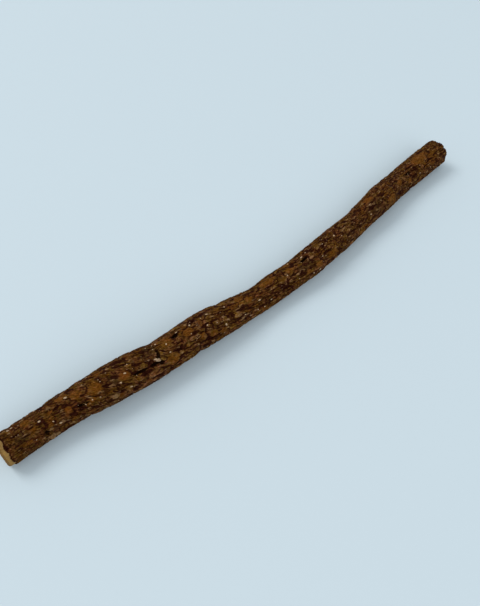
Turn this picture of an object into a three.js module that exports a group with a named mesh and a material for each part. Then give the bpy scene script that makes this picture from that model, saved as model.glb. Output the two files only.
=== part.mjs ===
// A licorice root: one dried length of root, about 180 mm long and 9 mm thick, lying on a surface.
// It is one piece that grew as one: a bowed, uneven rod of brown, wrinkled, corky bark over pale yellow
// wood. It was cut square at both ends, where the bark has broken back from the cut in a ragged edge.
// Units are millimetres, +Z is up. +X runs along the root from its broad-barked end to its far end.
// The origin is on the surface it lies on, under the middle of its outline.

import * as THREE from "three";

// The length from cut to cut, and half of it.
const LENGTH = 180;
const HALF = LENGTH / 2;

// The root's line and girth: along X, how far the axis bows to the side (Y), and the bark's radius.
const LINE = [
  { x: -90, side: 3.2, radius: 4.3 },
  { x: -80, side: 3.2, radius: 4.15 },
  { x: -71, side: 3.05, radius: 4.45 },
  { x: -62, side: 1.5, radius: 4.9 },
  { x: -54, side: 0.65, radius: 5 },
  { x: -47, side: -0.45, radius: 4.88 },
  { x: -41, side: -1.05, radius: 4.65 },
  { x: -33, side: -1.3, radius: 4.82 },
  { x: -25, side: -1.65, radius: 4.8 },
  { x: -16, side: -2.6, radius: 4.35 },
  { x: -7, side: -3.3, radius: 3.85 },
  { x: 2, side: -3.45, radius: 4 },
  { x: 9, side: -3.7, radius: 3.88 },
  { x: 18, side: -3.65, radius: 4.18 },
  { x: 30, side: -2.5, radius: 4.05 },
  { x: 41, side: -1.35, radius: 3.75 },
  { x: 54, side: 0.3, radius: 4.2 },
  { x: 64, side: 1.65, radius: 4 },
  { x: 80, side: 2.8, radius: 4.28 },
  { x: 90, side: 3.25, radius: 4.3 },
];

// How far the underside arches clear of the surface between the three places that it rests on.
const ARCH = [
  { x: -90, lift: 0.35 },
  { x: -76, lift: 0 },
  { x: -58, lift: 0.45 },
  { x: -40, lift: 0.7 },
  { x: -20, lift: 0.35 },
  { x: -4, lift: 0 },
  { x: 14, lift: 0.4 },
  { x: 36, lift: 0.7 },
  { x: 56, lift: 0.4 },
  { x: 75, lift: 0 },
  { x: 90, lift: 0.3 },
];
const REST_DEPTH = 0.2; // how deep the bark is pressed flat where it rests

// The slow spiral of the grain: along X, how far it has turned about the root, in degrees.
const GRAIN = [
  { x: -90, turn: 0 },
  { x: -76, turn: 8 },
  { x: -44, turn: 92 },
  { x: 0, turn: 128 },
  { x: 90, turn: 176 },
];

// The cut ends: where each is, the way in from it, the rounding of its rim, and the seed of its cracks.
const ENDS = {
  near: { cut: -HALF, inward: 1, rim: 0.7, seed: 81 },
  far: { cut: HALF, inward: -1, rim: 1.2, seed: 82 },
};
const BARK = 0.28; // the bark's thickness at its broken edge
const BARE_WOOD = 2.0; // how far the bark has broken back from the near cut
const TONGUES = { reach: 0.65, cells: 9 }; // the broad tongues of its ragged edge
const TEETH = { reach: 0.4, cells: 23 }; // and the small teeth along them
const RECESS = 0.2; // how far the wood has shrunk in from the bark at the far cut
const CLEFTS = { depth: 0.35, cells: 9, width: 0.34 }; // radial drying cracks in a cut face

// The bark's relief: heights in mm, cells round the root, and the length of a cell along it in mm.
const OVAL = { share: 0.03, cells: 4, length: 46, seed: 11 };
const SWELLS = { height: 0.28, cells: 6, length: 17, seed: 21 };
const RIDGES = { height: 0.42, cells: 11, length: 12, crease: 0.34, seed: 31 };
const WRINKLES = { height: 0.22, cells: 17, length: 8, crease: 0.4, seed: 41 };

const PLATE_CALM = 0.75; // how far a mark smooths the ridges and wrinkles on it
const WOOD_SHARE = 0.35; // the share of the bark's relief that the wood under it follows

// Marks on the bark that can be told apart: x and length along the root, angle and width round it.
// An angle of 0 faces +Y and 90 faces up. A height above 0 is a smooth corky swelling, below 0 a pit.
const MARKS = [
  { x: -69.9, angle: 126, length: 2.6, width: 2.5, height: 0.45 }, // round wart
  { x: -81, angle: 81, length: 3.6, width: 2.6, height: 0.3 },
  { x: -70.1, angle: 77, length: 4.2, width: 2.4, height: 0.28 },
  { x: -66.7, angle: 95, length: 3.2, width: 3, height: 0.32 },
  { x: -61.5, angle: 108, length: 5, width: 3.6, height: 0.4 },
  { x: -53.2, angle: 120, length: 4.6, width: 2.8, height: 0.36 },
  { x: -39.5, angle: 149, length: 5, width: 3.8, height: 0.5 }, // swelling beyond the scar
  { x: -38.9, angle: 92, length: 4.2, width: 2.8, height: 0.36 },
  { x: -31.8, angle: 102, length: 4.6, width: 3, height: 0.36 },
  { x: -28.4, angle: 144, length: 2.8, width: 2.2, height: 0.32 },
  { x: -24.9, angle: 152, length: 3.4, width: 2.2, height: 0.32 },
  { x: -21.5, angle: 161, length: 3, width: 2, height: 0.3 },
  { x: -12.6, angle: 79, length: 3.8, width: 2.4, height: 0.38 },
  { x: -1.5, angle: 78, length: 7.6, width: 2.5, height: 0.34 },
  { x: 6.8, angle: 94, length: 3, width: 2.2, height: 0.3 },
  { x: 16.7, angle: 147, length: 3.4, width: 2.2, height: 0.34 },
  { x: 22.8, angle: 150, length: 5.6, width: 2.2, height: 0.34 },
  { x: 47.7, angle: 76, length: 4.2, width: 2.4, height: 0.34 },
  { x: 55.5, angle: 149, length: 6.6, width: 2.6, height: 0.32 },
  { x: 77.2, angle: 91, length: 9.5, width: 4.4, height: 0.3 },
  { x: -77.1, angle: 181, length: 2, width: 1.6, height: 0.9 }, // stub of a side rootlet
  { x: -42.3, angle: 106, length: 1.5, width: 2.4, height: -0.7 }, // torn scar of a side rootlet
  { x: -42.8, angle: 123, length: 1.5, width: 2.6, height: -0.75 },
  { x: -42.5, angle: 138, length: 1.7, width: 1.7, height: -0.6 },
  { x: -44.2, angle: 131, length: 3.4, width: 1.1, height: -0.4 },
  { x: -77.8, angle: 155, length: 1.8, width: 2.1, height: -0.6 },
  { x: -35.5, angle: 87, length: 2.6, width: 1.4, height: -0.5 },
  { x: -66, angle: 133, length: 4, width: 1, height: -0.42 },
  { x: -49, angle: 132, length: 4.6, width: 1, height: -0.42 },
  { x: 13.2, angle: 92, length: 3.4, width: 1, height: -0.38 },
  { x: 69, angle: 112, length: 3.8, width: 1.1, height: -0.38 },
];

// The warts and rootlet scars strewn over the rest of the bark.
const STREWN = {
  count: 64,
  seed: 5,
  margin: 5, // kept clear at each end
  pitShare: 0.28,
  length: [1.5, 3.8],
  width: [1.3, 2.4],
  height: [0.14, 0.36],
};

// The mesh's fineness.
const ROUND = 54; // faces round the root
const ALONG = 94; // rows of faces along the bark
const FACE_RINGS = [0.3, 0.6, 0.88]; // rings on a cut face, as shares of its radius
const LEDGE = 0.96; // the ring where the far cut's wood meets the bark
const RIM_STEPS = [0, 45, 90]; // steps of the rim's rounding, in degrees
const STEP_RUN = 0.1; // half the run of the step from the wood up to the bark's ragged edge
const RIM_GAP = 0.5; // from the last row of the bark to the far rim

// A number from 0 to 1 that is always the same for the same whole numbers i, j and seed.
function chance(i, j, seed) {
  let h = Math.imul(i, 374761393) ^ Math.imul(j, 668265263) ^ Math.imul(seed, 1274126177);
  h = Math.imul(h ^ (h >>> 13), 1597334677);
  return ((h ^ (h >>> 16)) >>> 0) / 4294967295;
}

// Smooth noise from 0 to 1. u runs round the root, and repeats after the given number of cells.
function noise(u, v, cells, seed) {
  const column = Math.floor(u);
  const row = Math.floor(v);
  const ease = (t) => t * t * t * (t * (6 * t - 15) + 10);
  const across = ease(u - column);
  const up = ease(v - row);
  const wrap = (c) => ((c % cells) + cells) % cells;
  const corner = (c, r) => chance(wrap(c), r, seed);
  const low = THREE.MathUtils.lerp(corner(column, row), corner(column + 1, row), across);
  const high = THREE.MathUtils.lerp(corner(column, row + 1), corner(column + 1, row + 1), across);
  return THREE.MathUtils.lerp(low, high, up);
}

// A smooth curve through a table's values at x, with even tangents between its neighbours.
function follow(table, key, x) {
  const last = table.length - 1;
  const i = Math.max(0, Math.min(last - 1, table.findIndex((p) => p.x > x) - 1));
  const k = x >= table[last].x ? last - 1 : i;
  const slope = (n) => {
    const a = table[Math.max(0, n - 1)];
    const b = table[Math.min(last, n + 1)];
    return (b[key] - a[key]) / (b.x - a.x);
  };
  const span = table[k + 1].x - table[k].x;
  const t = (x - table[k].x) / span;
  const rise = table[k + 1][key] - table[k][key];
  const a = slope(k) * span - rise;
  const b = rise - slope(k + 1) * span;
  return table[k][key] + rise * t + t * (1 - t) * (a * (1 - t) + b * t);
}

// The smallest turn between two angles, in degrees.
function turnBetween(a, b) {
  return ((((a - b + 180) % 360) + 360) % 360) - 180;
}

// A soft-edged oval mark: 1 in its middle, 0 outside its outline.
function oval(mark, x, angle, radius) {
  const dx = (x - mark.x) / (mark.length / 2);
  const across = THREE.MathUtils.degToRad(turnBetween(angle, mark.angle)) * radius;
  const dy = across / (mark.width / 2);
  const inside = 1 - dx * dx - dy * dy;
  return inside <= 0 ? 0 : inside * inside * (3 - 2 * inside);
}

// The strewn marks, placed by a seeded draw.
function strewnMarks() {
  const { count, seed, margin, pitShare, length, width, height } = STREWN;
  const marks = [];
  for (let i = 0; i < count; i++) {
    const draw = (n) => chance(i, n, seed);
    const pit = draw(1) < pitShare;
    marks.push({
      x: (HALF - margin) * (2 * ((i + draw(2)) / count) - 1),
      angle: 360 * draw(3),
      length: THREE.MathUtils.lerp(...length, draw(4)),
      width: THREE.MathUtils.lerp(...width, draw(5)) * (pit ? 0.6 : 1),
      height: THREE.MathUtils.lerp(...height, draw(6)) * (pit ? -1 : 1),
    });
  }
  return marks;
}
const ALL_MARKS = [...MARKS, ...strewnMarks()];

// Rounded ribs with narrow creases between them, from -1 in a crease to 1 on a rib.
function ribs(layer, turn, x) {
  const n = noise(turn * layer.cells, x / layer.length, layer.cells, layer.seed);
  const rib = Math.min(1, Math.abs(2 * n - 1) / layer.crease);
  return 2 * Math.sin((rib * Math.PI) / 2) - 1;
}

// The radius under the bark's relief, a little out of round.
function roundness(x, angle) {
  const n = noise((angle / 360) * OVAL.cells, x / OVAL.length, OVAL.cells, OVAL.seed);
  return follow(LINE, "radius", x) * (1 + OVAL.share * (2 * n - 1));
}

// How far the bark stands out from its even radius.
function relief(x, angle) {
  const turn = (angle - follow(GRAIN, "turn", x)) / 360;
  const radius = follow(LINE, "radius", x);
  const swell = 2 * noise(turn * SWELLS.cells, x / SWELLS.length, SWELLS.cells, SWELLS.seed) - 1;
  let height = SWELLS.height * swell;
  let plate = 0;
  for (const mark of ALL_MARKS) {
    const share = oval(mark, x, angle, radius);
    height += mark.height * share;
    plate = Math.max(plate, share);
  }
  const grain = 1 - PLATE_CALM * plate;
  height += grain * RIDGES.height * 0.5 * ribs(RIDGES, turn, x);
  height += grain * WRINKLES.height * 0.5 * ribs(WRINKLES, turn, x);
  return height;
}

// The bark's outer radius and the wood's radius under it.
function barkRadius(x, angle) {
  return roundness(x, angle) + relief(x, angle);
}
function woodRadius(x, angle) {
  return roundness(x, angle) + WOOD_SHARE * relief(x, angle) - BARK;
}

// How far from the near cut the bark's ragged edge lies, at an angle round the root.
function raggedEdge(angle) {
  const layer = ({ cells, reach }) => {
    return reach * (2 * noise((angle / 360) * cells, 0.5, cells, ENDS.near.seed + cells) - 1);
  };
  return BARE_WOOD + layer(TONGUES) + layer(TEETH);
}

// The depth of the drying cracks that run out from the middle of a cut face.
function cleft(share, angle, seed) {
  const ray = noise((angle / 360) * CLEFTS.cells, 1.5 * share, CLEFTS.cells, seed);
  const depth = Math.max(0, 1 - Math.abs(2 * ray - 1) / CLEFTS.width);
  return CLEFTS.depth * depth * Math.sin(Math.PI * share);
}

// The point at x, angle and radius on the root, in millimetres. Nothing lies below the surface.
function place(x, angle, radius) {
  const step = 0.5;
  const slope = (follow(LINE, "side", x + step) - follow(LINE, "side", x - step)) / (2 * step);
  const aside = Math.atan(slope);
  const a = THREE.MathUtils.degToRad(angle);
  const level = follow(LINE, "radius", x) + follow(ARCH, "lift", x) - REST_DEPTH;
  const across = radius * Math.cos(a);
  return new THREE.Vector3(
    x - across * Math.sin(aside),
    follow(LINE, "side", x) + across * Math.cos(aside),
    Math.max(0, level + radius * Math.sin(a)),
  );
}

// The rows of a cut face and of its rounded rim, from its middle outwards. A row's point gives x and radius
// at an angle, and its turn is how far the row has turned with the grain.
function cutRows({ cut, inward, rim, seed }, radiusAt, shares, sunk) {
  const turn = follow(GRAIN, "turn", cut);
  const face = shares.map((share) => (angle) => ({
    x: cut + inward * (sunk + cleft(share, angle, seed)),
    radius: (radiusAt(cut + inward * rim, angle) - rim) * share,
  }));
  const rounding = RIM_STEPS.map((degrees) => (angle) => {
    const a = THREE.MathUtils.degToRad(degrees);
    return {
      x: cut + inward * rim * (1 - Math.cos(a)),
      radius: radiusAt(cut + inward * rim, angle) - rim * (1 - Math.sin(a)),
    };
  });
  return [...face, ...rounding].map((point) => ({ turn, point }));
}

// The near end: bare wood out to the foot of the bark's ragged edge.
function nearRows() {
  const rows = cutRows(ENDS.near, woodRadius, FACE_RINGS, 0);
  const foot = (angle) => {
    const x = -HALF + raggedEdge(angle) - STEP_RUN;
    return { x, radius: woodRadius(x, angle) };
  };
  return [...rows, { turn: rows[0].turn, point: foot }];
}

// The far end, from the bark to its middle: the bark goes round the rim, and the wood lies sunk inside it.
function farRows() {
  return cutRows(ENDS.far, barkRadius, [...FACE_RINGS, LEDGE], RECESS).reverse();
}

// The rows of the bark, which run from its ragged edge to the rim of the far cut.
function barkRows() {
  const rows = [];
  for (let k = 0; k <= ALONG; k++) {
    const share = k / ALONG;
    const turn = follow(GRAIN, "turn", THREE.MathUtils.lerp(-HALF, HALF, share));
    const point = (angle) => {
      const start = -HALF + raggedEdge(angle) + STEP_RUN;
      const x = THREE.MathUtils.lerp(start, HALF - ENDS.far.rim - RIM_GAP, share);
      return { x, radius: barkRadius(x, angle) };
    };
    rows.push({ turn, point });
  }
  return rows;
}

// One closed surface through the rows, with a point in the middle of each cut face.
function rootGeometry() {
  const rows = [...nearRows(), ...barkRows(), ...farRows()];
  const points = [place(-HALF, 0, 0)];
  for (const { turn, point } of rows) {
    for (let j = 0; j < ROUND; j++) {
      const angle = turn + (360 * j) / ROUND;
      const { x, radius } = point(angle);
      points.push(place(x, angle, radius));
    }
  }
  points.push(place(HALF - RECESS, 0, 0));

  const at = (row, j) => 1 + row * ROUND + (j % ROUND);
  const last = points.length - 1;
  const faces = [];
  for (let j = 0; j < ROUND; j++) {
    faces.push(0, at(0, j + 1), at(0, j));
    faces.push(last, at(rows.length - 1, j), at(rows.length - 1, j + 1));
  }
  for (let row = 0; row < rows.length - 1; row++) {
    for (let j = 0; j < ROUND; j++) {
      faces.push(at(row, j), at(row, j + 1), at(row + 1, j + 1));
      faces.push(at(row, j), at(row + 1, j + 1), at(row + 1, j));
    }
  }
  const geometry = new THREE.BufferGeometry().setFromPoints(points);
  geometry.setIndex(faces);
  geometry.computeVertexNormals();
  return geometry;
}

const root = new THREE.Mesh(
  rootGeometry(),
  new THREE.MeshStandardMaterial({ color: 0x5a3a1c, roughness: 0.85, metalness: 0 }),
);
root.name = "licorice_root";

const group = new THREE.Group();
group.add(root);
export default group;
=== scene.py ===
"""A dried licorice root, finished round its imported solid.

The root is one bowed length with wrinkled, corky bark. Its near end is cut square and shows bare yellow
wood, and at its far end the bark goes round the rim. Lengths are millimetres unless a name ends in _m, and
angles are degrees round the root: 0 faces +Y and 90 faces up.
"""

import logging
import math
from dataclasses import dataclass
from enum import Enum
from functools import cached_property
from typing import NamedTuple, Sequence

import bmesh
import bpy
import numpy as np
from mathutils import Matrix, Vector


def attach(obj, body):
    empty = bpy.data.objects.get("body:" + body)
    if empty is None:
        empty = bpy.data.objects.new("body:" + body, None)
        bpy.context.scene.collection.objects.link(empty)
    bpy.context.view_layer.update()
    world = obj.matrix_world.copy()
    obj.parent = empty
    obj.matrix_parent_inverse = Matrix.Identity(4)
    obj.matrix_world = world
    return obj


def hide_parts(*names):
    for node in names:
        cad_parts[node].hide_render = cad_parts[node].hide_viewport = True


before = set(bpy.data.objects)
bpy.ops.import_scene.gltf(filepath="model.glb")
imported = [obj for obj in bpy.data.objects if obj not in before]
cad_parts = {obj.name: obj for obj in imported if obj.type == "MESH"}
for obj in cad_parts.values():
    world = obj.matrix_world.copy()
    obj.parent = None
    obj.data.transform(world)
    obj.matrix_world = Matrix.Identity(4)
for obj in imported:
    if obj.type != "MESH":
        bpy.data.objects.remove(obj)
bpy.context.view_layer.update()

LOG = logging.getLogger("licorice_root")

Colour = tuple[float, float, float]
Grid = np.ndarray

NODE = "licorice_root"
BODY = "root"
MM = 0.001
FULL_TURN = 360.0
WORD = 0xFFFFFFFF
SHUFFLES = (374761393, 668265263, 1274126177, 1597334677)
CELL_MARGIN = 0.1
FAR_OFF = 9.0


# Numbers and curves


def shade(red: int, green: int, blue: int) -> Colour:
    """The linear colour of three display values.

    Args:
        red: From 0 to 255.
        green: From 0 to 255.
        blue: From 0 to 255.

    Returns:
        The colour that a shader takes.
    """

    def linear(value: float) -> float:
        """One channel, straightened."""
        return value / 12.92 if value <= 0.04045 else ((value + 0.055) / 1.055) ** 2.4

    return linear(red / 255), linear(green / 255), linear(blue / 255)


def chance(i: Grid | int, j: Grid | int, seed: int) -> Grid:
    """Numbers from 0 to 1 that are always the same for the same whole numbers.

    Args:
        i: First whole number or grid of them.
        j: Second whole number or grid of them.
        seed: Sets one draw apart from the next.

    Returns:
        A grid of numbers, or one number for plain arguments.
    """
    i, j = np.asarray(i, np.int64), np.asarray(j, np.int64)
    first, second, third, last = SHUFFLES
    h = ((i * first) ^ (j * second) ^ (seed * third)) & WORD
    h = ((h ^ (h >> 13)) * last) & WORD
    return (h ^ (h >> 16)) / WORD


def draws(i: int, count: int, seed: int) -> list[float]:
    """One small thing's own numbers from 0 to 1, always the same for the same seed."""
    return [float(chance(i, n, seed)) for n in range(count)]


def noise(u: Grid, v: Grid, cells: int, seed: int) -> Grid:
    """Smooth noise from 0 to 1 that repeats round the root.

    Args:
        u: Place round the root, in cells.
        v: Place along it, in cells.
        cells: How many cells go round it.
        seed: Sets one noise apart from the next.

    Returns:
        The noise at each place.
    """
    column, row = np.floor(u).astype(np.int64), np.floor(v).astype(np.int64)

    def ease(t: Grid) -> Grid:
        """A smooth step from 0 to 1."""
        return t * t * t * (t * (6 * t - 15) + 10)

    across, up = ease(u - column), ease(v - row)
    left, right = column % cells, (column + 1) % cells
    low = chance(left, row, seed) * (1 - across) + chance(right, row, seed) * across
    high = chance(left, row + 1, seed) * (1 - across) + chance(right, row + 1, seed) * across
    return low * (1 - up) + high * up


def unit(vectors: Grid) -> Grid:
    """Vectors at a length of one."""
    return vectors / np.linalg.norm(vectors, axis=-1, keepdims=True)


def smooth(low: float, high: float, value: Grid) -> Grid:
    """A smooth step from 0 at low to 1 at high."""
    t = np.clip((value - low) / (high - low), 0, 1)
    return t * t * (3 - 2 * t)


class Spread(NamedTuple):
    """A size that differs from one small thing to the next."""

    least: float
    more: float

    def pick(self, share: float) -> float:
        """The size at a share of the spread."""
        return self.least + self.more * share


class Scales(NamedTuple):
    """What a pattern of scales says of each place."""

    inside: Grid  # 0 in the groove between scales, 1 on a scale
    dome: Grid  # 1 at the middle of a scale, falling outwards
    number: Grid  # the scale's own number from 0 to 1


def scales(u: Grid, v: Grid, cells: int, groove: float, seed: int) -> Scales:
    """Uneven scales, each round a centre that is drawn within its cell.

    Args:
        u: Place round the root, in cells.
        v: Place along it, in cells.
        cells: How many cells go round it.
        groove: The width of the groove between scales, in cells.
        seed: Sets one pattern apart from the next.

    Returns:
        The pattern at each place.
    """
    column, row = np.floor(u).astype(np.int64), np.floor(v).astype(np.int64)
    room = 1 - 2 * CELL_MARGIN
    first = np.full(u.shape, FAR_OFF)
    second = first.copy()
    number = np.zeros(u.shape)
    for di in (-1, 0, 1):
        for dj in (-1, 0, 1):
            i, j = column + di, row + dj
            wrapped = i % cells
            du = i + CELL_MARGIN + room * chance(wrapped, j, seed) - u
            dv = j + CELL_MARGIN + room * chance(wrapped, j, seed + 1) - v
            away = np.hypot(du, dv)
            nearer = away < first
            second = np.where(nearer, first, np.minimum(second, away))
            number = np.where(nearer, chance(wrapped, j, seed + 2), number)
            first = np.where(nearer, away, first)
    return Scales(smooth(0.0, groove, second - first), np.clip(1 - first * first, 0, 1), number)


@dataclass(frozen=True)
class Course:
    """A smooth curve through values along the root."""

    points: tuple[tuple[float, float], ...]

    def at(self, x: Grid | float) -> Grid:
        """The curve's values, with each point's tangent set by its neighbours.

        Args:
            x: Places along the root.

        Returns:
            The value at each.
        """
        places, values = np.array(self.points, float).T
        last = len(places) - 1
        k = np.clip(np.searchsorted(places, x, side="right") - 1, 0, last - 1)
        before, after = np.maximum(k - 1, 0), np.minimum(k + 2, last)
        span = places[k + 1] - places[k]
        rise = values[k + 1] - values[k]
        enters = (values[k + 1] - values[before]) / (places[k + 1] - places[before])
        leaves = (values[after] - values[k]) / (places[after] - places[k])
        t = (x - places[k]) / span
        a, b = enters * span - rise, rise - leaves * span
        return values[k] + rise * t + t * (1 - t) * (a * (1 - t) + b * t)


# The root's form, as its solid has it


@dataclass(frozen=True)
class Mark:
    """A wart, plate or pit: its place, its length along the root, its width round it and its height."""

    x: float
    angle: float
    length: float
    width: float
    height: float

    def cover(self, x: Grid, angle: Grid, radius: Grid) -> Grid:
        """How much of the mark there is at each place.

        Args:
            x: Places along the root.
            angle: Angles round it.
            radius: The root's radius there.

        Returns:
            1 in the mark's middle, 0 outside its oval outline.
        """
        dx = (x - self.x) / (self.length / 2)
        turned = (angle - self.angle + FULL_TURN / 2) % FULL_TURN - FULL_TURN / 2
        dy = np.radians(turned) * radius / (self.width / 2)
        inside = np.maximum(0, 1 - dx * dx - dy * dy)
        return inside * inside * (3 - 2 * inside)


@dataclass(frozen=True)
class Layer:
    """One layer of noise over the root."""

    height: float
    cells: int  # round the root
    length: float  # of a cell, along the root
    seed: int
    crease: float = 1.0  # the width of its grooves or cracks

    def noise(self, turn: Grid, x: Grid) -> Grid:
        """The layer's noise from -1 to 1."""
        return 2 * noise(turn * self.cells, x / self.length, self.cells, self.seed) - 1

    def lift(self, turn: Grid, x: Grid) -> Grid:
        """The layer's noise at its own height."""
        return self.height * self.noise(turn, x)

    def cracks(self, turn: Grid, x: Grid) -> Grid:
        """1 in the middle of the cracks that wind between the cells, 0 outside them."""
        return np.maximum(0, 1 - np.abs(self.noise(turn, x)) / self.crease)

    def scales(self, turn: Grid, x: Grid) -> Scales:
        """The layer as a pattern of scales."""
        return scales(turn * self.cells, x / self.length, self.cells, self.crease, self.seed)

    def ribs(self, turn: Grid, x: Grid) -> Grid:
        """Rounded ribs with narrow creases: -1 in a crease, 1 on a rib."""
        rib = np.minimum(1, np.abs(self.noise(turn, x)) / self.crease)
        return 2 * np.sin(rib * math.pi / 2) - 1


@dataclass(frozen=True)
class RootForm:
    """The line, girth and coarse relief that the solid has."""

    half: float = 90.0
    side: Course = Course(
        (
            (-90, 3.2), (-80, 3.2), (-71, 3.05), (-62, 1.5), (-54, 0.65), (-47, -0.45), (-41, -1.05),
            (-33, -1.3), (-25, -1.65), (-16, -2.6), (-7, -3.3), (2, -3.45), (9, -3.7), (18, -3.65),
            (30, -2.5), (41, -1.35), (54, 0.3), (64, 1.65), (80, 2.8), (90, 3.25),
        )
    )  # fmt: skip
    girth: Course = Course(
        (
            (-90, 4.3), (-80, 4.15), (-71, 4.45), (-62, 4.9), (-54, 5.0), (-47, 4.88), (-41, 4.65),
            (-33, 4.82), (-25, 4.8), (-16, 4.35), (-7, 3.85), (2, 4.0), (9, 3.88), (18, 4.18),
            (30, 4.05), (41, 3.75), (54, 4.2), (64, 4.0), (80, 4.28), (90, 4.3),
        )
    )  # fmt: skip
    arch: Course = Course(
        (
            (-90, 0.35), (-76, 0), (-58, 0.45), (-40, 0.7), (-20, 0.35), (-4, 0), (14, 0.4),
            (36, 0.7), (56, 0.4), (75, 0), (90, 0.3),
        )
    )  # fmt: skip
    rest_depth: float = 0.2
    grain: Course = Course(((-90, 0), (-76, 8), (-44, 92), (0, 128), (90, 176)))
    oval: Layer = Layer(0.03, 4, 46, 11)
    swells: Layer = Layer(0.28, 6, 17, 21)
    ridges: Layer = Layer(0.42, 11, 12, 31, 0.34)
    wrinkles: Layer = Layer(0.22, 17, 8, 41, 0.4)
    calm: float = 0.75
    wood_share: float = 0.35
    marks: tuple[Mark, ...] = (
        Mark(-69.9, 126, 2.6, 2.5, 0.45),
        Mark(-81, 81, 3.6, 2.6, 0.3),
        Mark(-70.1, 77, 4.2, 2.4, 0.28),
        Mark(-66.7, 95, 3.2, 3, 0.32),
        Mark(-61.5, 108, 5, 3.6, 0.4),
        Mark(-53.2, 120, 4.6, 2.8, 0.36),
        Mark(-39.5, 149, 5, 3.8, 0.5),
        Mark(-38.9, 92, 4.2, 2.8, 0.36),
        Mark(-31.8, 102, 4.6, 3, 0.36),
        Mark(-28.4, 144, 2.8, 2.2, 0.32),
        Mark(-24.9, 152, 3.4, 2.2, 0.32),
        Mark(-21.5, 161, 3, 2, 0.3),
        Mark(-12.6, 79, 3.8, 2.4, 0.38),
        Mark(-1.5, 78, 7.6, 2.5, 0.34),
        Mark(6.8, 94, 3, 2.2, 0.3),
        Mark(16.7, 147, 3.4, 2.2, 0.34),
        Mark(22.8, 150, 5.6, 2.2, 0.34),
        Mark(47.7, 76, 4.2, 2.4, 0.34),
        Mark(55.5, 149, 6.6, 2.6, 0.32),
        Mark(77.2, 91, 9.5, 4.4, 0.3),
        Mark(-77.1, 181, 2, 1.6, 0.9),
        Mark(-42.3, 106, 1.5, 2.4, -0.7),
        Mark(-42.8, 123, 1.5, 2.6, -0.75),
        Mark(-42.5, 138, 1.7, 1.7, -0.6),
        Mark(-44.2, 131, 3.4, 1.1, -0.4),
        Mark(-77.8, 155, 1.8, 2.1, -0.6),
        Mark(-35.5, 87, 2.6, 1.4, -0.5),
        Mark(-66, 133, 4, 1, -0.42),
        Mark(-49, 132, 4.6, 1, -0.42),
        Mark(13.2, 92, 3.4, 1, -0.38),
        Mark(69, 112, 3.8, 1.1, -0.38),
    )
    pace: Course = Course(((-90, -98), (-76, -81), (-40, -45), (0, -3), (30, 30), (60, 75), (90, 125)))
    strewn: int = 64
    strewn_seed: int = 5
    strewn_margin: float = 5.0
    strewn_length: tuple[float, float] = (1.5, 3.8)
    strewn_width: tuple[float, float] = (1.3, 2.4)
    strewn_height: tuple[float, float] = (0.14, 0.36)
    pit_share: float = 0.28
    pit_slimness: float = 0.6

    @cached_property
    def all_marks(self) -> list[Mark]:
        """The listed marks, then those strewn by a seeded draw.

        Returns:
            The marks in the order in which their heights add up.
        """
        made = list(self.marks)
        for i in range(self.strewn):

            def draw(n: int, low: float = 0.0, high: float = 1.0) -> float:
                """One of this mark's numbers."""
                return low + (high - low) * float(chance(i, n, self.strewn_seed))

            pit = draw(1) < self.pit_share
            x = (self.half - self.strewn_margin) * (2 * ((i + draw(2)) / self.strewn) - 1)
            width = draw(5, *self.strewn_width) * (self.pit_slimness if pit else 1)
            height = draw(6, *self.strewn_height) * (-1 if pit else 1)
            made.append(Mark(x, draw(3, 0, FULL_TURN), draw(4, *self.strewn_length), width, height))
        return made

    def turn(self, x: Grid, angle: Grid) -> Grid:
        """How far round the root a place lies, as a share of a turn, measured along the grain."""
        return (angle - self.grain.at(x)) / FULL_TURN

    def roundness(self, x: Grid, angle: Grid) -> Grid:
        """The radius under the relief, a little out of round."""
        return self.girth.at(x) * (1 + self.oval.lift(angle / FULL_TURN, x))

    def place(self, x: Grid, angle: Grid, radius: Grid) -> Grid:
        """Points on or in the root. None lies below the surface it rests on.

        Args:
            x: Places along the root.
            angle: Angles round it.
            radius: Distances from its middle line.

        Returns:
            The points, in millimetres.
        """
        step = 0.5
        slope = (self.side.at(x + step) - self.side.at(x - step)) / (2 * step)
        aside = np.arctan(slope)
        a = np.radians(angle)
        level = self.girth.at(x) + self.arch.at(x) - self.rest_depth
        across = radius * np.cos(a)
        points = (
            x - across * np.sin(aside),
            self.side.at(x) + across * np.cos(aside),
            np.maximum(0, level + radius * np.sin(a)),
        )
        return np.stack(points, -1)

    def straight(self, x: Grid, angle: Grid, radius: Grid) -> Grid:
        """The same points on a straight, untwisted root, which patterns that follow the grain use."""
        a = 2 * math.pi * self.turn(x, angle)
        return np.stack((self.pace.at(x), radius * np.cos(a), radius * np.sin(a)), -1)


# The bark's fine skin


class Tint(Enum):
    """A stain's kind."""

    SOOT = "soot"
    RUST = "rust"
    WORN = "worn"
    OCHRE = "ochre"


@dataclass(frozen=True)
class Stain:
    """A patch of another tint on the bark."""

    tint: Tint
    place: Mark


def patches(tint: Tint, *places: tuple[float, float, float, float]) -> tuple[Stain, ...]:
    """Stains of one tint, each with its x, angle, length and width."""
    return tuple(Stain(tint, Mark(*place, 1)) for place in places)


class Skin(NamedTuple):
    """What the bark's skin is like at each place."""

    height: Grid  # how far it stands out from the even radius
    coarse: Grid  # the part of that height which the solid has too
    crack: Grid  # 1 at the bottom of a crack, where shade is painted
    plate: Grid  # 1 on a smooth corky plate, less on an ochre stain
    scar: Grid  # 1 in a torn pit, where shade is painted
    tone: Grid  # from dark to light, scale by scale
    pale: Grid  # 1 on a scale that has lost its colour
    soot: Grid  # 1 in a sooty stain
    rust: Grid  # 1 in a reddish stain
    tinge: Grid  # from golden through olive to maroon, patch by patch


class Footing(NamedTuple):
    """Where small things stand on the bark."""

    point: Grid  # millimetres
    out: Grid  # the way out of the bark
    grain: Grid  # the way along the grain
    plate: Grid  # as in the skin


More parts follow.
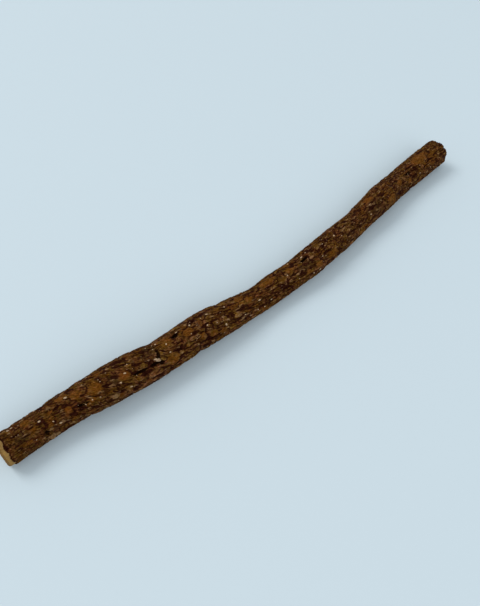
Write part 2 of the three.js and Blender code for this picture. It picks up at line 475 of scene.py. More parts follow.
class Relief(NamedTuple):
    """The coarse relief, which the solid has too, and the marks on it."""

    height: Grid  # how far it stands out from the even radius
    mark: Grid  # 1 in the middle of a mark, 0 off the marks
    pit: Grid  # the same for torn pits alone
    calm: Grid  # the share of the ridges that is left, least on a mark
    creases: Grid  # how much shade is painted in the creases between ridges and wrinkles


class Weave(NamedTuple):
    """The fine patterns of the bark."""

    broad: Scales
    small: Scales
    tiny: Scales
    gap: Grid  # 1 where short cracks are let through
    dash: Grid  # 1 in the middle of a short crack
    hair: Grid  # the same for hair cracks
    line: Grid  # the same for the finest cracks
    fibre: Grid  # dark and light fibres, from -1 to 1
    waver: Grid  # how far the patterns waver sideways, as a share of a turn


@dataclass(frozen=True)
class CrackShares:
    """How much each pattern adds to the shade painted in the cracks."""

    broad: float = 0.4
    small: float = 0.3
    tiny: float = 0.25
    dash: float = 1.15
    hair: float = 1.05
    line: float = 0.75
    ridge: float = 0.5
    wrinkle: float = 0.35
    crease: float = 0.14
    fissure: float = 1.6
    broken: Spread = Spread(0.45, 1.1)  # how whole the short cracks are, scale by scale
    fissure_whole: float = 0.2  # how much more whole the fissures are


@dataclass(frozen=True)
class ToneShares:
    """How much each pattern adds to the bark's tone, from dark to light."""

    base: float = 0.04
    broad: float = 0.1
    small: float = 0.14
    tiny: float = 0.34
    fibre: float = 0.28
    cloud: float = 0.06


@dataclass(frozen=True)
class NearEnd:
    """How much calmer and darker the bark is towards the near end."""

    whole_to: float = -72.0  # x up to which all of it holds
    gone_from: float = -48.0  # x from which none of it does
    fewer_cracks: float = 0.17
    less_contrast: float = 0.35
    middle_tone: float = 0.45
    darker: float = 0.1


@dataclass(frozen=True)
class BarkSkin:
    """The coarse relief of the solid, with scales, cracks and grain laid over it."""

    form: RootForm
    warp: Layer = Layer(0.012, 14, 3.1, 201)
    ripple: Layer = Layer(0.006, 37, 1.4, 203)
    drift: Layer = Layer(1.0, 11, 4.3, 202)
    broad: Layer = Layer(0.15, 12, 4.0, 211, 0.12)
    small: Layer = Layer(0.07, 30, 2.3, 221, 0.17)
    tiny: Layer = Layer(0.05, 54, 1.4, 225, 0.3)
    dashes: Layer = Layer(0.3, 24, 3.7, 231, 0.145)
    gate: Layer = Layer(1.0, 14, 3.4, 232)
    hairs: Layer = Layer(0.12, 38, 2.8, 241, 0.155)
    lines: Layer = Layer(0.09, 58, 1.9, 245, 0.24)
    fibres: Layer = Layer(1.0, 48, 1.9, 247)
    leaves: Layer = Layer(0.6, 22, 1.8, 281)
    specks: Layer = Layer(0.4, 47, 0.9, 283)
    grit: Layer = Layer(0.022, 64, 0.9, 251)
    cloud: Layer = Layer(1.0, 5, 13.0, 261)
    nibble: Layer = Layer(0.34, 25, 1.9, 271)
    # Each fissure's x, angle, length and width
    fissures: tuple[tuple[float, float, float, float], ...] = (
        (-66.8, 131, 5.3, 0.68), (-66.3, 146, 4.0, 0.68), (-65.5, 112, 2.7, 0.5),
        (-58.9, 115, 4.0, 0.68), (-57.4, 126, 4.7, 0.68), (-59.5, 127, 2.7, 0.5),
        (-72, 161, 3.3, 0.68), (-70, 112, 3.3, 0.68), (-72.7, 99, 4.6, 0.68), (-77.6, 99, 2.0, 0.5),
        (-84.9, 99, 3.2, 0.68), (-85.4, 143, 1.9, 0.5), (-62.7, 155, 3.4, 0.68), (-60.9, 73, 2.7, 0.5),
        (-80.6, 106, 2.6, 0.5), (-48.8, 130, 6.2, 0.68), (-46.1, 136, 4.8, 0.68),
        (-53.2, 86, 5.4, 0.68), (-46.5, 73, 2.8, 0.5), (-35.2, 86, 3.5, 0.68), (-32.6, 96, 2.8, 0.5),
        (-29.7, 98, 2.8, 0.5), (-30.9, 116, 4.3, 0.68), (-26.5, 113, 4.3, 0.68),
        (-35.6, 113, 2.8, 0.5), (-36.7, 135, 2.8, 0.5), (-34.6, 142, 2.8, 0.5), (-30.9, 134, 2.1, 0.5),
        (-36.6, 151, 2.8, 0.5), (-34.9, 161, 2.5, 0.5), (-25.2, 165, 5.1, 0.68), (-20.4, 99, 2.9, 0.5),
        (-22.3, 138, 2.9, 0.5), (-28.1, 173, 4.3, 0.68), (-14.1, 73, 3.7, 0.68), (-10.3, 86, 3.0, 0.5),
        (-13.6, 123, 5.2, 0.68), (-17.9, 106, 2.9, 0.5), (-11, 139, 3.0, 0.5), (-1.8, 104, 4.6, 0.68),
        (7.3, 121, 3.9, 0.68), (9.8, 140, 3.9, 0.68), (2.1, 70, 2.3, 0.5), (17.5, 87, 2.0, 0.5),
        (21.4, 129, 4.0, 0.68), (-7.1, 176, 3.0, 0.5), (-3.9, 164, 3.0, 0.5), (3.1, 181, 3.9, 0.68),
        (47, 98, 4.2, 0.68), (53.6, 110, 3.4, 0.5), (53.2, 77, 3.4, 0.5), (61.3, 87, 4.3, 0.68),
        (71.3, 94, 5.3, 0.68), (73.3, 111, 3.5, 0.5), (80.1, 128, 4.5, 0.68), (63.5, 128, 2.6, 0.5),
        (78, 136, 3.6, 0.5), (70.2, 137, 3.5, 0.5), (83.3, 156, 3.6, 0.5), (50, 128, 3.4, 0.5),
        (-43.4, 124, 2.8, 0.5), (-68.6, 179, 2.7, 0.5), (-55.4, 157, 2.7, 0.5),
        (-51.2, 174, 3.4, 0.68), (-48.8, 106, 3.4, 0.68), (-38.5, 173, 3.5, 0.68),
    )  # fmt: skip
    fissure_depth: float = 0.32
    torn_from: float = 0.37  # a pit deeper than this is torn
    pit_rim: float = 0.02  # no plate where a pit is deeper than this share
    plate_edge: tuple[float, float] = (0.18, 0.5)
    plate_smooths: float = 0.7  # the share of the scales and cracks that a plate takes away
    plate_heals: float = 0.9  # the same for the fissures
    dome_share: tuple[float, float] = (0.5, 0.6)  # of the broad and the small scales
    step_share: float = 0.5  # how far one broad scale stands above the next
    gap_edge: tuple[float, float] = (0.02, 0.3)
    streaky_gaps: float = 0.25
    streaky_from: tuple[float, float] = (-82.0, -72.0)
    streaky_to: tuple[float, float] = (-46.0, -38.0)
    fleck_edge: tuple[float, float] = (0.91, 0.96)
    ochre_edge: tuple[float, float] = (0.1, 0.6)
    ochre_share: float = 0.8
    worn_pale: float = 1.3
    worn_heals: float = 0.8  # the share of the cracks that a worn patch takes away
    tatters: tuple[float, float] = (0.45, 0.5)  # large and little, at the edge of a scar
    crack_shares: CrackShares = CrackShares()
    tone_shares: ToneShares = ToneShares()
    near_end: NearEnd = NearEnd()
    stains: tuple[Stain, ...] = (
        *patches(
            Tint.SOOT,
            (-44.6, 88, 7, 4.4), (47.5, 125, 10, 6.0), (-56.5, 118, 4, 4.0), (-83.5, 118, 6, 3.0),
            (12.0, 118, 8, 3.0),
        ),
        *patches(
            Tint.RUST,
            (-69.9, 126, 3, 3.0), (-7.1, 104, 4, 3.0), (47.7, 76, 5, 3.0), (-53.2, 120, 4, 2.6),
        ),
        *patches(
            Tint.OCHRE,
            (80.2, 123, 9.3, 3.3), (81.2, 142, 7.2, 2.1), (23.8, 158, 7.0, 1.8), (7.6, 86, 4.3, 2.1),
            (18.9, 110, 3.8, 2.9), (-81.1, 116, 3.6, 2.1), (-66.5, 101, 3.7, 1.8),
            (-62.3, 118, 5.9, 3.1), (-52.9, 120, 3.8, 2.2), (-39.6, 81, 5.0, 2.6),
            (-39.4, 153, 4.5, 2.3), (-47.9, 59, 6.6, 1.6), (-60.2, 61, 6.5, 1.6), (-32.3, 81, 2.8, 2.0),
            (-28.5, 137, 2.9, 1.6), (-23.3, 156, 2.9, 1.7), (-15.9, 99, 4.1, 1.7),
            (-11.6, 57, 3.6, 2.1), (-13.5, 103, 2.4, 1.7), (-2.2, 67, 4.9, 2.5), (42.4, 97, 3.3, 2.3),
            (57.7, 79, 5.5, 3.2), (55.8, 142, 5.5, 2.7), (-75.2, 126, 3.1, 2.4), (-83, 140, 3.6, 1.5),
            (-72.6, 79, 3.7, 1.5),
        ),
        *patches(Tint.WORN, (-76.9, 181, 2.2, 2.2), (-75.4, 191, 1.6, 1.4)),
    )  # fmt: skip

    def at(self, x: Grid, angle: Grid) -> Skin:
        """The skin at places along and round the root.

        Args:
            x: Places along the root.
            angle: Angles round it.

        Returns:
            The skin at each.
        """
        form, near_end = self.form, self.near_end
        turn, radius = form.turn(x, angle), form.girth.at(x)
        relief, weave = self.relief(x, angle, turn, radius), self.weave(x, turn)
        eaten = relief.mark + self.nibble.lift(turn, x) * (relief.mark > 0)
        raised = np.where(relief.pit > self.pit_rim, 0.0, smooth(*self.plate_edge, eaten))
        rough = 1 - self.plate_smooths * raised
        torn = self.fissured(x, angle, weave.waver, radius) * (1 - self.plate_heals * raised)
        fine = self.scaly(weave, rough) + self.grit.lift(turn, x) - self.fissure_depth * torn

        near = 1 - smooth(near_end.whole_to, near_end.gone_from, x)
        # How much shade is painted down in the cracks.
        crack = self.cracked(relief, weave, rough, torn)
        crack = np.clip(crack * (1 - near_end.fewer_cracks * near), 0, 1)
        tone = self.toned(weave, self.cloud.noise(turn, x)) - near_end.middle_tone
        tone = near_end.middle_tone + tone * (1 - near_end.less_contrast * near) - near_end.darker * near
        tinge = 0.5 + 0.5 * sum(layer.lift(turn, x) for layer in (self.leaves, self.specks))

        stains = self.stained(x, angle, radius)
        crack = crack * (1 - self.worn_heals * stains[Tint.WORN])
        fleck = smooth(*self.fleck_edge, weave.tiny.number) * weave.tiny.inside * rough
        pale = np.maximum(fleck, self.worn_pale * stains[Tint.WORN])
        plate = np.maximum(raised, self.ochre_share * smooth(*self.ochre_edge, stains[Tint.OCHRE]))
        large, little = self.tatters
        tatter = large * self.nibble.noise(turn, x) + little * self.specks.noise(turn, x)
        # How much shade is painted in the torn pits.
        scar = np.clip(np.sqrt(relief.pit) + tatter, 0, 1) * (relief.pit > 0)
        height, soot, rust = relief.height + fine, stains[Tint.SOOT], stains[Tint.RUST]
        return Skin(height, relief.height, crack, plate, scar, tone, pale, soot, rust, tinge)

    def relief(self, x: Grid, angle: Grid, turn: Grid, radius: Grid) -> Relief:
        """The swells, marks, ridges and wrinkles.

        Args:
            x: Places along the root.
            angle: Angles round it.
            turn: The same angles along the grain, as a share of a turn.
            radius: The root's radius there.

        Returns:
            The coarse relief at each place.
        """
        form, shares = self.form, self.crack_shares
        height = form.swells.lift(turn, x)
        marked, pit = np.zeros(x.shape), np.zeros(x.shape)
        for mark in form.all_marks:
            cover = mark.cover(x, angle, radius)
            height = height + mark.height * cover
            marked = np.maximum(marked, cover)
            if mark.height < -self.torn_from:
                pit = np.maximum(pit, cover)
        calm = 1 - form.calm * marked
        ridge, wrinkle = form.ridges.ribs(turn, x), form.wrinkles.ribs(turn, x)
        height = height + calm * form.ridges.height * 0.5 * ridge
        height = height + calm * form.wrinkles.height * 0.5 * wrinkle
        creases = shares.ridge * (1 - ridge) + shares.wrinkle * (1 - wrinkle)
        return Relief(height, marked, pit, calm, creases)

    def weave(self, x: Grid, turn: Grid) -> Weave:
        """The fine patterns, which waver a little as they follow the grain.

        Args:
            x: Places along the root.
            turn: Places round it along the grain, as a share of a turn.

        Returns:
            The patterns at each place.
        """
        u = turn + self.warp.lift(turn, x)
        u = u + self.ripple.lift(turn, x)
        v = self.form.pace.at(x) + self.drift.lift(turn, x)
        gap = smooth(*self.gap_edge, self.gate.noise(u, v) + self.streaky_gaps * self.streaky(x))
        return Weave(
            broad=self.broad.scales(u, v),
            small=self.small.scales(u, v),
            tiny=self.tiny.scales(u, v),
            gap=gap,
            dash=self.dashes.cracks(u, v) * gap,
            hair=self.hairs.cracks(u, v),
            line=self.lines.cracks(u, v),
            fibre=self.fibres.noise(u, v),
            waver=u - turn,
        )

    def scaly(self, weave: Weave, rough: Grid) -> Grid:
        """The height of the scales, less the depth of the small cracks.

        Args:
            weave: The fine patterns.
            rough: 1 on rough bark, less on a smooth plate.

        Returns:
            The fine relief at each place.
        """
        broad, small, tiny = weave.broad, weave.small, weave.tiny
        dome, small_dome = self.dome_share
        raised = broad.inside - 1 + dome * broad.dome + self.step_share * broad.number
        height = rough * self.broad.height * raised
        height = height + rough * self.small.height * (small.inside - 1 + small_dome * small.dome)
        height = height + rough * self.tiny.height * (tiny.inside - 1 + tiny.number)
        height = height - rough * self.dashes.height * weave.dash
        height = height - rough * self.hairs.height * weave.hair * (1 - 0.5 * weave.gap)
        return height - rough * self.lines.height * weave.line

    def cracked(self, relief: Relief, weave: Weave, rough: Grid, torn: Grid) -> Grid:
        """How much shade is painted in the cracks, grooves and creases.

        Args:
            relief: The coarse relief.
            weave: The fine patterns.
            rough: 1 on rough bark, less on a smooth plate.
            torn: The depth of the long fissures, from 0 to 1.

        Returns:
            The painted shade at each place, which can go past 1.
        """
        shares, small, tiny = self.crack_shares, weave.small, weave.tiny
        dark = shares.broad * (1 - weave.broad.inside) + shares.small * (1 - small.inside)
        dark = dark + shares.tiny * (1 - tiny.inside)
        broken = shares.broken.least + shares.broken.more * (1 - tiny.number) * (0.5 + 0.5 * small.inside)
        dark = dark + shares.dash * weave.dash * broken + shares.hair * weave.hair
        dark = rough * (dark + shares.line * weave.line)
        dark = dark + shares.crease * relief.calm * relief.creases
        return dark + shares.fissure * torn * np.minimum(1, broken + shares.fissure_whole)

    def toned(self, weave: Weave, cloud: Grid) -> Grid:
        """The tone of the scales and fibres.

        Args:
            weave: The fine patterns.
            cloud: Broad patches of dark and light, from -1 to 1.

        Returns:
            The tone at each place, from dark to light.
        """
        shares = self.tone_shares
        tone = shares.broad * weave.broad.number + shares.small * weave.small.number
        tone = tone + shares.tiny * weave.tiny.number
        tone = tone + shares.fibre * (1 + weave.fibre) / 2
        return tone + shares.base + shares.cloud * (1 + cloud) / 2

    def stained(self, x: Grid, angle: Grid, radius: Grid) -> dict[Tint, Grid]:
        """How much of each tint's stains there is.

        Args:
            x: Places along the root.
            angle: Angles round it.
            radius: The root's radius there.

        Returns:
            For each tint, 1 in the middle of a stain and 0 outside it.
        """
        found = {tint: np.zeros(x.shape) for tint in Tint}
        for stain in self.stains:
            cover = np.sqrt(stain.place.cover(x, angle, radius))
            found[stain.tint] = np.maximum(found[stain.tint], cover)
        return found

    def fissured(self, x: Grid, angle: Grid, shift: Grid, radius: Grid) -> Grid:
        """1 in the middle of the long fissures, which follow the grain, and 0 outside them.

        Args:
            x: Places along the root.
            angle: Angles round it.
            shift: How far the fissures waver sideways, as a share of a turn.
            radius: The root's radius there.

        Returns:
            The fissures' depth, from 0 to 1.
        """
        torn = np.zeros(x.shape)
        grain = self.form.grain
        for place, side, length, width in self.fissures:
            turned = angle - (grain.at(x) - float(grain.at(place))) + FULL_TURN * shift
            torn = np.maximum(torn, Mark(place, side, length, width, -1.0).cover(x, turned, radius))
        return torn

    def streaky(self, x: Grid) -> Grid:
        """1 where the cracks run long and close together, 0 elsewhere."""
        return smooth(*self.streaky_from, x) * (1 - smooth(*self.streaky_to, x))

    def surface(self, x: Grid, angle: Grid, coarse: bool = True) -> Footing:
        """Points on the bark, with the way out of it and the way along it.

        Args:
            x: Places along the root.
            angle: Angles round it.
            coarse: Whether the fine skin is left out, for things that lie across it.

        Returns:
            The footing at each place.
        """
        step = 0.35
        along = self.form.grain.at(x + step) - self.form.grain.at(x)
        turned = np.degrees(step / self.form.girth.at(x))
        xs = np.stack((x, x + step, x))
        angles = np.stack((angle, angle + along, angle + turned))
        skin = self.at(xs, angles)
        radius = self.form.roundness(xs, angles) + (skin.coarse if coarse else skin.height)
        here, ahead, round_ = self.form.place(xs, angles, radius)
        grain = unit(ahead - here)
        return Footing(here, unit(np.cross(grain, round_ - here)), grain, skin.plate[0])


# Meshes


class Shell(NamedTuple):
    """Corners in millimetres and the faces between them."""

    corners: Grid
    faces: list[tuple[int, ...]]


def make_piece(name: str, shell: Shell, values: dict[str, Grid]) -> bpy.types.Object:
    """A new smooth mesh object in the scene.

    Args:
        name: The piece's name.
        shell: Its corners and faces, in millimetres.
        values: Named numbers or vectors, one for each corner.

    Returns:
        The object, in metres, at the origin.
    """
    mesh = bpy.data.meshes.new(name)
    mesh.from_pydata((shell.corners * MM).tolist(), [], shell.faces)
    for key, numbers in values.items():
        flat = np.asarray(numbers, np.float32)
        kind, slot = ("FLOAT_VECTOR", "vector") if flat.ndim == 2 else ("FLOAT", "value")
        mesh.attributes.new(key, kind, "POINT").data.foreach_set(slot, flat.ravel())
    mesh.polygons.foreach_set("use_smooth", np.ones(len(mesh.polygons), bool))
    mesh.validate()
    mesh.update()
    piece = bpy.data.objects.new(name, mesh)
    bpy.context.scene.collection.objects.link(piece)
    return piece


def join_shells(shells: Sequence[Shell]) -> Shell:
    """Several shells as one.

    Args:
        shells: The shells, which stay apart from each other.

    Returns:
        One shell with all their corners and faces.
    """
    corners, faces, start = [], [], 0
    for shell in shells:
        corners.append(shell.corners)
        faces.extend(tuple(start + i for i in face) for face in shell.faces)
        start += len(shell.corners)
    return Shell(np.concatenate(corners), faces)


def hand_over(piece: bpy.types.Object) -> None:
    """Lets a piece ride on the root, and logs it.

    Args:
        piece: The finished piece.
    """
    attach(piece, BODY)
    LOG.info("%s: %d faces", piece.name, len(piece.data.polygons))


# Finishes


class Span(NamedTuple):
    """A value's range, which is stretched smoothly to run from 0 to a top."""

    low: float
    high: float
    top: float = 1.0


class Grain(NamedTuple):
    """How the shared grain looks in one finish."""

    fineness: float  # per millimetre
    stretch: float  # along the root: the smaller, the longer
    bump: float  # its height, in millimetres


class Wiring:
    """Places nodes in one node tree and joins them."""

    def __init__(self, tree: bpy.types.NodeTree) -> None:
        """Starts on a tree.

        Args:
            tree: The material's or group's node tree.
        """
        self.tree = tree

    def add(self, kind: str, **settings: object) -> bpy.types.Node:
        """A new node.

        Args:
            kind: Blender's name for the kind of node.
            **settings: Properties to set on it.

        Returns:
            The node.
        """
        node = self.tree.nodes.new(kind)
        for key, value in settings.items():
            setattr(node, key, value)
        return node

    def feed(self, value: object, socket: bpy.types.NodeSocket) -> None:
        """Joins a socket to an input, or sets the input to a constant.

        Args:
            value: A socket, or a number, vector or colour.
            socket: The input.
        """
        if isinstance(value, bpy.types.NodeSocket):
            self.tree.links.new(value, socket)
        elif socket.type == "RGBA":
            socket.default_value = (*value, 1.0)
        else:
            socket.default_value = value

    def attribute(self, name: str, output: str = "Fac") -> bpy.types.NodeSocket:
        """One of the mesh's own named values."""
        return self.add("ShaderNodeAttribute", attribute_name=name).outputs[output]

    def maths(self, how: str, a: object, b: object = 0.0, clamp: bool = False) -> bpy.types.NodeSocket:
        """A sum, product or the like of two numbers.

        Args:
            how: Blender's name for the sum.
            a: First number or socket.
            b: Second number or socket.
            clamp: Whether the result is kept between 0 and 1.

        Returns:
            The result.
        """
        node = self.add("ShaderNodeMath", operation=how, use_clamp=clamp)
        self.feed(a, node.inputs[0])
        self.feed(b, node.inputs[1])
        return node.outputs[0]

    def mix(self, share: object, low: object, high: object, how: str = "MIX") -> bpy.types.NodeSocket:
        """Two colours mixed by a share.

        Args:
            share: 0 gives the first colour and 1 the second.
            low: First colour.
            high: Second colour.
            how: The way they mix.

        Returns:
            The mixed colour.
        """
        node = self.add("ShaderNodeMix", data_type="RGBA", blend_type=how, clamp_factor=True)
        self.feed(share, node.inputs["Factor"])
        self.feed(low, [s for s in node.inputs if s.name == "A" and s.type == "RGBA"][0])
        self.feed(high, [s for s in node.inputs if s.name == "B" and s.type == "RGBA"][0])
        return [s for s in node.outputs if s.type == "RGBA"][0]

    def ramp(self, value: object, stops: Sequence[tuple[float, Colour]]) -> bpy.types.NodeSocket:
        """A colour that changes with a value.

        Args:
            value: The socket to read.
            stops: Places from 0 to 1 with their colours.

        Returns:
            The colour.
        """
        node = self.add("ShaderNodeValToRGB")
        elements = node.color_ramp.elements
        while len(elements) < len(stops):
            elements.new(1.0)
        for element, (place, colour) in zip(elements, stops):
            element.position = place
            element.color = (*colour, 1.0)
        self.feed(value, node.inputs[0])
        return node.outputs["Color"]

    def span(self, value: object, span: Span) -> bpy.types.NodeSocket:
        """A value's range stretched smoothly.

        Args:
            value: The socket to read.
            span: The range and what its high end becomes. Its low end becomes 0.

        Returns:
            The stretched value.
        """
        node = self.add("ShaderNodeMapRange", interpolation_type="SMOOTHSTEP")
        for key, number in zip(("From Min", "From Max", "To Max"), span):
            node.inputs[key].default_value = number
        self.feed(value, node.inputs["Value"])
        return node.outputs["Result"]


def grain_group() -> bpy.types.NodeTree:
    """The mottling and streaks that bark, wood and crumbs share, made once.

    Returns:
        A group with inputs Grain, Fineness and Stretch and outputs Mottle, Streak and Relief.
    """
    name = "root_grain"
    if name in bpy.data.node_groups:
        return bpy.data.node_groups[name]
    group = bpy.data.node_groups.new(name, "ShaderNodeTree")
    group.interface.new_socket("Grain", in_out="INPUT", socket_type="NodeSocketVector")
    for key, value in (("Fineness", 1.0), ("Stretch", 0.3)):
        socket = group.interface.new_socket(key, in_out="INPUT", socket_type="NodeSocketFloat")
        socket.default_value = value
    for key in ("Mottle", "Streak", "Relief"):
        group.interface.new_socket(key, in_out="OUTPUT", socket_type="NodeSocketFloat")
    wire = Wiring(group)
    inlet, outlet = wire.add("NodeGroupInput"), wire.add("NodeGroupOutput")
    apart = wire.add("ShaderNodeSeparateXYZ")
    wire.feed(inlet.outputs["Grain"], apart.inputs[0])
    along = wire.maths("MULTIPLY", apart.outputs["X"], inlet.outputs["Stretch"])
    drawn = wire.add("ShaderNodeCombineXYZ")
    for value, key in ((along, "X"), (apart.outputs["Y"], "Y"), (apart.outputs["Z"], "Z")):
        wire.feed(value, drawn.inputs[key])

    def cloud(vector: bpy.types.NodeSocket, finer: float, detail: float) -> bpy.types.NodeSocket:
        """Noise at some multiple of the group's fineness.

        Args:
            vector: Where the noise is read.
            finer: The multiple.
            detail: How many finer layers it has.

        Returns:
            The noise.
        """
        node = wire.add("ShaderNodeTexNoise")
        node.inputs["Detail"].default_value = detail
        node.inputs["Roughness"].default_value = 0.66
        wire.feed(vector, node.inputs["Vector"])
        wire.feed(wire.maths("MULTIPLY", inlet.outputs["Fineness"], finer), node.inputs["Scale"])
        return node.outputs["Fac"]

    mottle = cloud(inlet.outputs["Grain"], 1.0, 8.0)
    streak = cloud(drawn.outputs[0], 2.2, 7.0)
    fine = cloud(drawn.outputs[0], 4.5, 5.0)
    wire.feed(mottle, outlet.inputs["Mottle"])
    wire.feed(streak, outlet.inputs["Streak"])
    wire.feed(wire.maths("ADD", wire.maths("MULTIPLY", fine, 0.6), streak), outlet.inputs["Relief"])
    return group


class Grained(NamedTuple):
    """A started material: its wiring, its shader and its node of the shared grain."""

    material: bpy.types.Material
    wire: Wiring
    shader: bpy.types.Node
    grain: bpy.types.Node


def start_material(name: str, look: Grain) -> Grained:
    """A new material with the shared grain in its bump.

    Args:
        name: The material's name.
        look: How the grain looks in it.

    Returns:
        The material with what the finish goes on to use.
    """
    material = bpy.data.materials.new(name)
    material.use_nodes = True
    wire = Wiring(material.node_tree)
    shader = material.node_tree.nodes["Principled BSDF"]
    grain = wire.add("ShaderNodeGroup", node_tree=grain_group())
    wire.feed(wire.attribute("grain", "Vector"), grain.inputs["Grain"])
    grain.inputs["Fineness"].default_value = look.fineness
    grain.inputs["Stretch"].default_value = look.stretch
    raised = wire.add("ShaderNodeBump")
    raised.inputs["Strength"].default_value = 1.0
    raised.inputs["Distance"].default_value = look.bump * MM
    wire.feed(grain.outputs["Relief"], raised.inputs["Height"])
    wire.feed(raised.outputs["Normal"], shader.inputs["Normal"])
    return Grained(material, wire, shader, grain)


@dataclass(frozen=True)
class BarkFinish:
    """Corky bark: brown scales over creases and pits darkened with painted shade, with ochre plates, pale
    flecks, soot, rust and pinkish streaks that partly paint highlights.
    """

    name: str = "corky_bark"
    grain: Grain = Grain(1.3, 0.36, 0.11)
    tones: tuple[tuple[float, Colour], ...] = (
        (0.12, shade(37, 15, 5)),
        (0.34, shade(58, 33, 12)),
        (0.52, shade(75, 47, 19)),
        (0.7, shade(91, 60, 29)),
        (0.92, shade(117, 88, 60)),
    )
    tinges: tuple[tuple[float, Colour], ...] = (
        (0.2, (1.0, 0.92, 0.36)),
        (0.36, (0.88, 1.0, 0.62)),
        (0.52, (1.0, 0.99, 0.95)),
        (0.68, (1.0, 0.92, 1.0)),
        (0.84, (1.0, 0.76, 0.7)),
    )
    # The next two colours paint the shade down in the cracks and creases and along the bark's ragged edge.
    crease: Colour = shade(22, 4, 2)
    crease_side_shade: Colour = shade(46, 19, 11)
    plate: Colour = shade(103, 61, 11)
    plate_dark: Colour = shade(70, 38, 7)
    fleck: Colour = shade(124, 98, 68)
    # Pinkish-brown streaks, partly the bark's own tint and partly painted highlight streaks.
    bloom_and_highlight: Colour = shade(108, 72, 58)
    olive: Colour = shade(72, 54, 19)
    soot: Colour = shade(44, 33, 18)
    rust: Colour = shade(94, 48, 15)
    # Near black: painted shade down in the torn pits.
    scar: Colour = shade(10, 3, 1)
    sheen: Colour = shade(150, 110, 70)
    mottle_share: float = 0.7
    streak_share: float = 1.3
    tone_swing: float = 1.9
    tinge_swing: float = 0.3
    tinge_gain: float = 1.4
    tinge_shift: float = -0.2
    plate_streaks: Span = Span(0.38, 0.62)
    plate_patches: Span = Span(0.35, 0.62, 0.55)
    plate_least: float = 0.33
    rust_share: float = 0.3
    soot_patches: Span = Span(0.35, 0.6, 0.8)
    bloom_and_highlight_patches: Span = Span(0.28, 0.4, 0.5)
    olive_patches: Span = Span(-0.02, 0.16, 0.55)
    fleck_patches: Span = Span(0.3, 0.6, 0.75)
    crack_edge: Span = Span(0.42, 0.74, 0.97)
    crack_sides: Span = Span(0.4, 0.66)
    scar_edge: Span = Span(0.15, 0.6, 0.95)
    smoothest: float = 0.65
    roughness: Span = Span(0.3, 0.75, 0.25)
    specular: float = 0.05

    def material(self) -> bpy.types.Material:
        """The bark's material, mixed from the scales' tone up to the painted shade in the cracks and scars.

        Returns:
            The material.
        """
        made, wire, shader, grain = start_material(self.name, self.grain)
        mottle, streak = grain.outputs["Mottle"], grain.outputs["Streak"]
        mottled = wire.maths("MULTIPLY", mottle, self.mottle_share)
        uneven = wire.maths("ADD", mottled, wire.maths("MULTIPLY", streak, self.streak_share))
        uneven = wire.maths("SUBTRACT", uneven, (self.mottle_share + self.streak_share) / 2)

        tone = wire.maths("MULTIPLY", uneven, self.tone_swing)
        tone = wire.maths("ADD", wire.attribute("tone"), tone, clamp=True)
        colour = wire.ramp(tone, self.tones)
        tinge = wire.maths("ADD", wire.attribute("tinge"), wire.maths("MULTIPLY", uneven, self.tinge_swing))
        tinge = wire.maths("ADD", wire.maths("MULTIPLY", tinge, self.tinge_gain), self.tinge_shift)
        colour = wire.mix(1.0, colour, wire.ramp(tinge, self.tinges), "MULTIPLY")

        plate = wire.mix(wire.span(streak, self.plate_streaks), self.plate_dark, self.plate)
        patchy = wire.maths("ADD", wire.span(mottle, self.plate_patches), self.plate_least)
        colour = wire.mix(wire.maths("MULTIPLY", wire.attribute("plate"), patchy), colour, plate)
        rust = wire.maths("MULTIPLY", wire.attribute("rust"), self.rust_share)
        colour = wire.mix(rust, colour, self.rust)
        soot = wire.maths("MULTIPLY", wire.attribute("soot"), wire.span(mottle, self.soot_patches))
        colour = wire.mix(soot, colour, self.soot)
        # Pinkish streaks, partly the bark's tint and partly painted highlights.
        bloom_and_highlight = wire.span(wire.maths("MULTIPLY", streak, mottle), self.bloom_and_highlight_patches)
        colour = wire.mix(bloom_and_highlight, colour, self.bloom_and_highlight)
        olive = wire.span(wire.maths("SUBTRACT", streak, mottle), self.olive_patches)
        colour = wire.mix(olive, colour, self.olive)
        pale = wire.maths("MULTIPLY", wire.attribute("pale"), wire.span(mottle, self.fleck_patches))
        colour = wire.mix(pale, colour, self.fleck)

        # Painted shade down in the cracks and creases and along the bark's ragged edge.
        crack = wire.span(wire.maths("ADD", wire.attribute("crack"), uneven), self.crack_edge)
        deep = wire.mix(wire.span(streak, self.crack_sides), self.crease, self.crease_side_shade)
        colour = wire.mix(crack, colour, deep)
        # Painted shade in the torn pits.
        colour = wire.mix(wire.span(wire.attribute("scar"), self.scar_edge), colour, self.scar)
        wire.feed(colour, shader.inputs["Base Color"])
        rough = wire.maths("ADD", wire.span(streak, self.roughness), self.smoothest)
        wire.feed(rough, shader.inputs["Roughness"])
        shader.inputs["Specular IOR Level"].default_value = self.specular
        shader.inputs["Specular Tint"].default_value = (*self.sheen, 1.0)
        return made


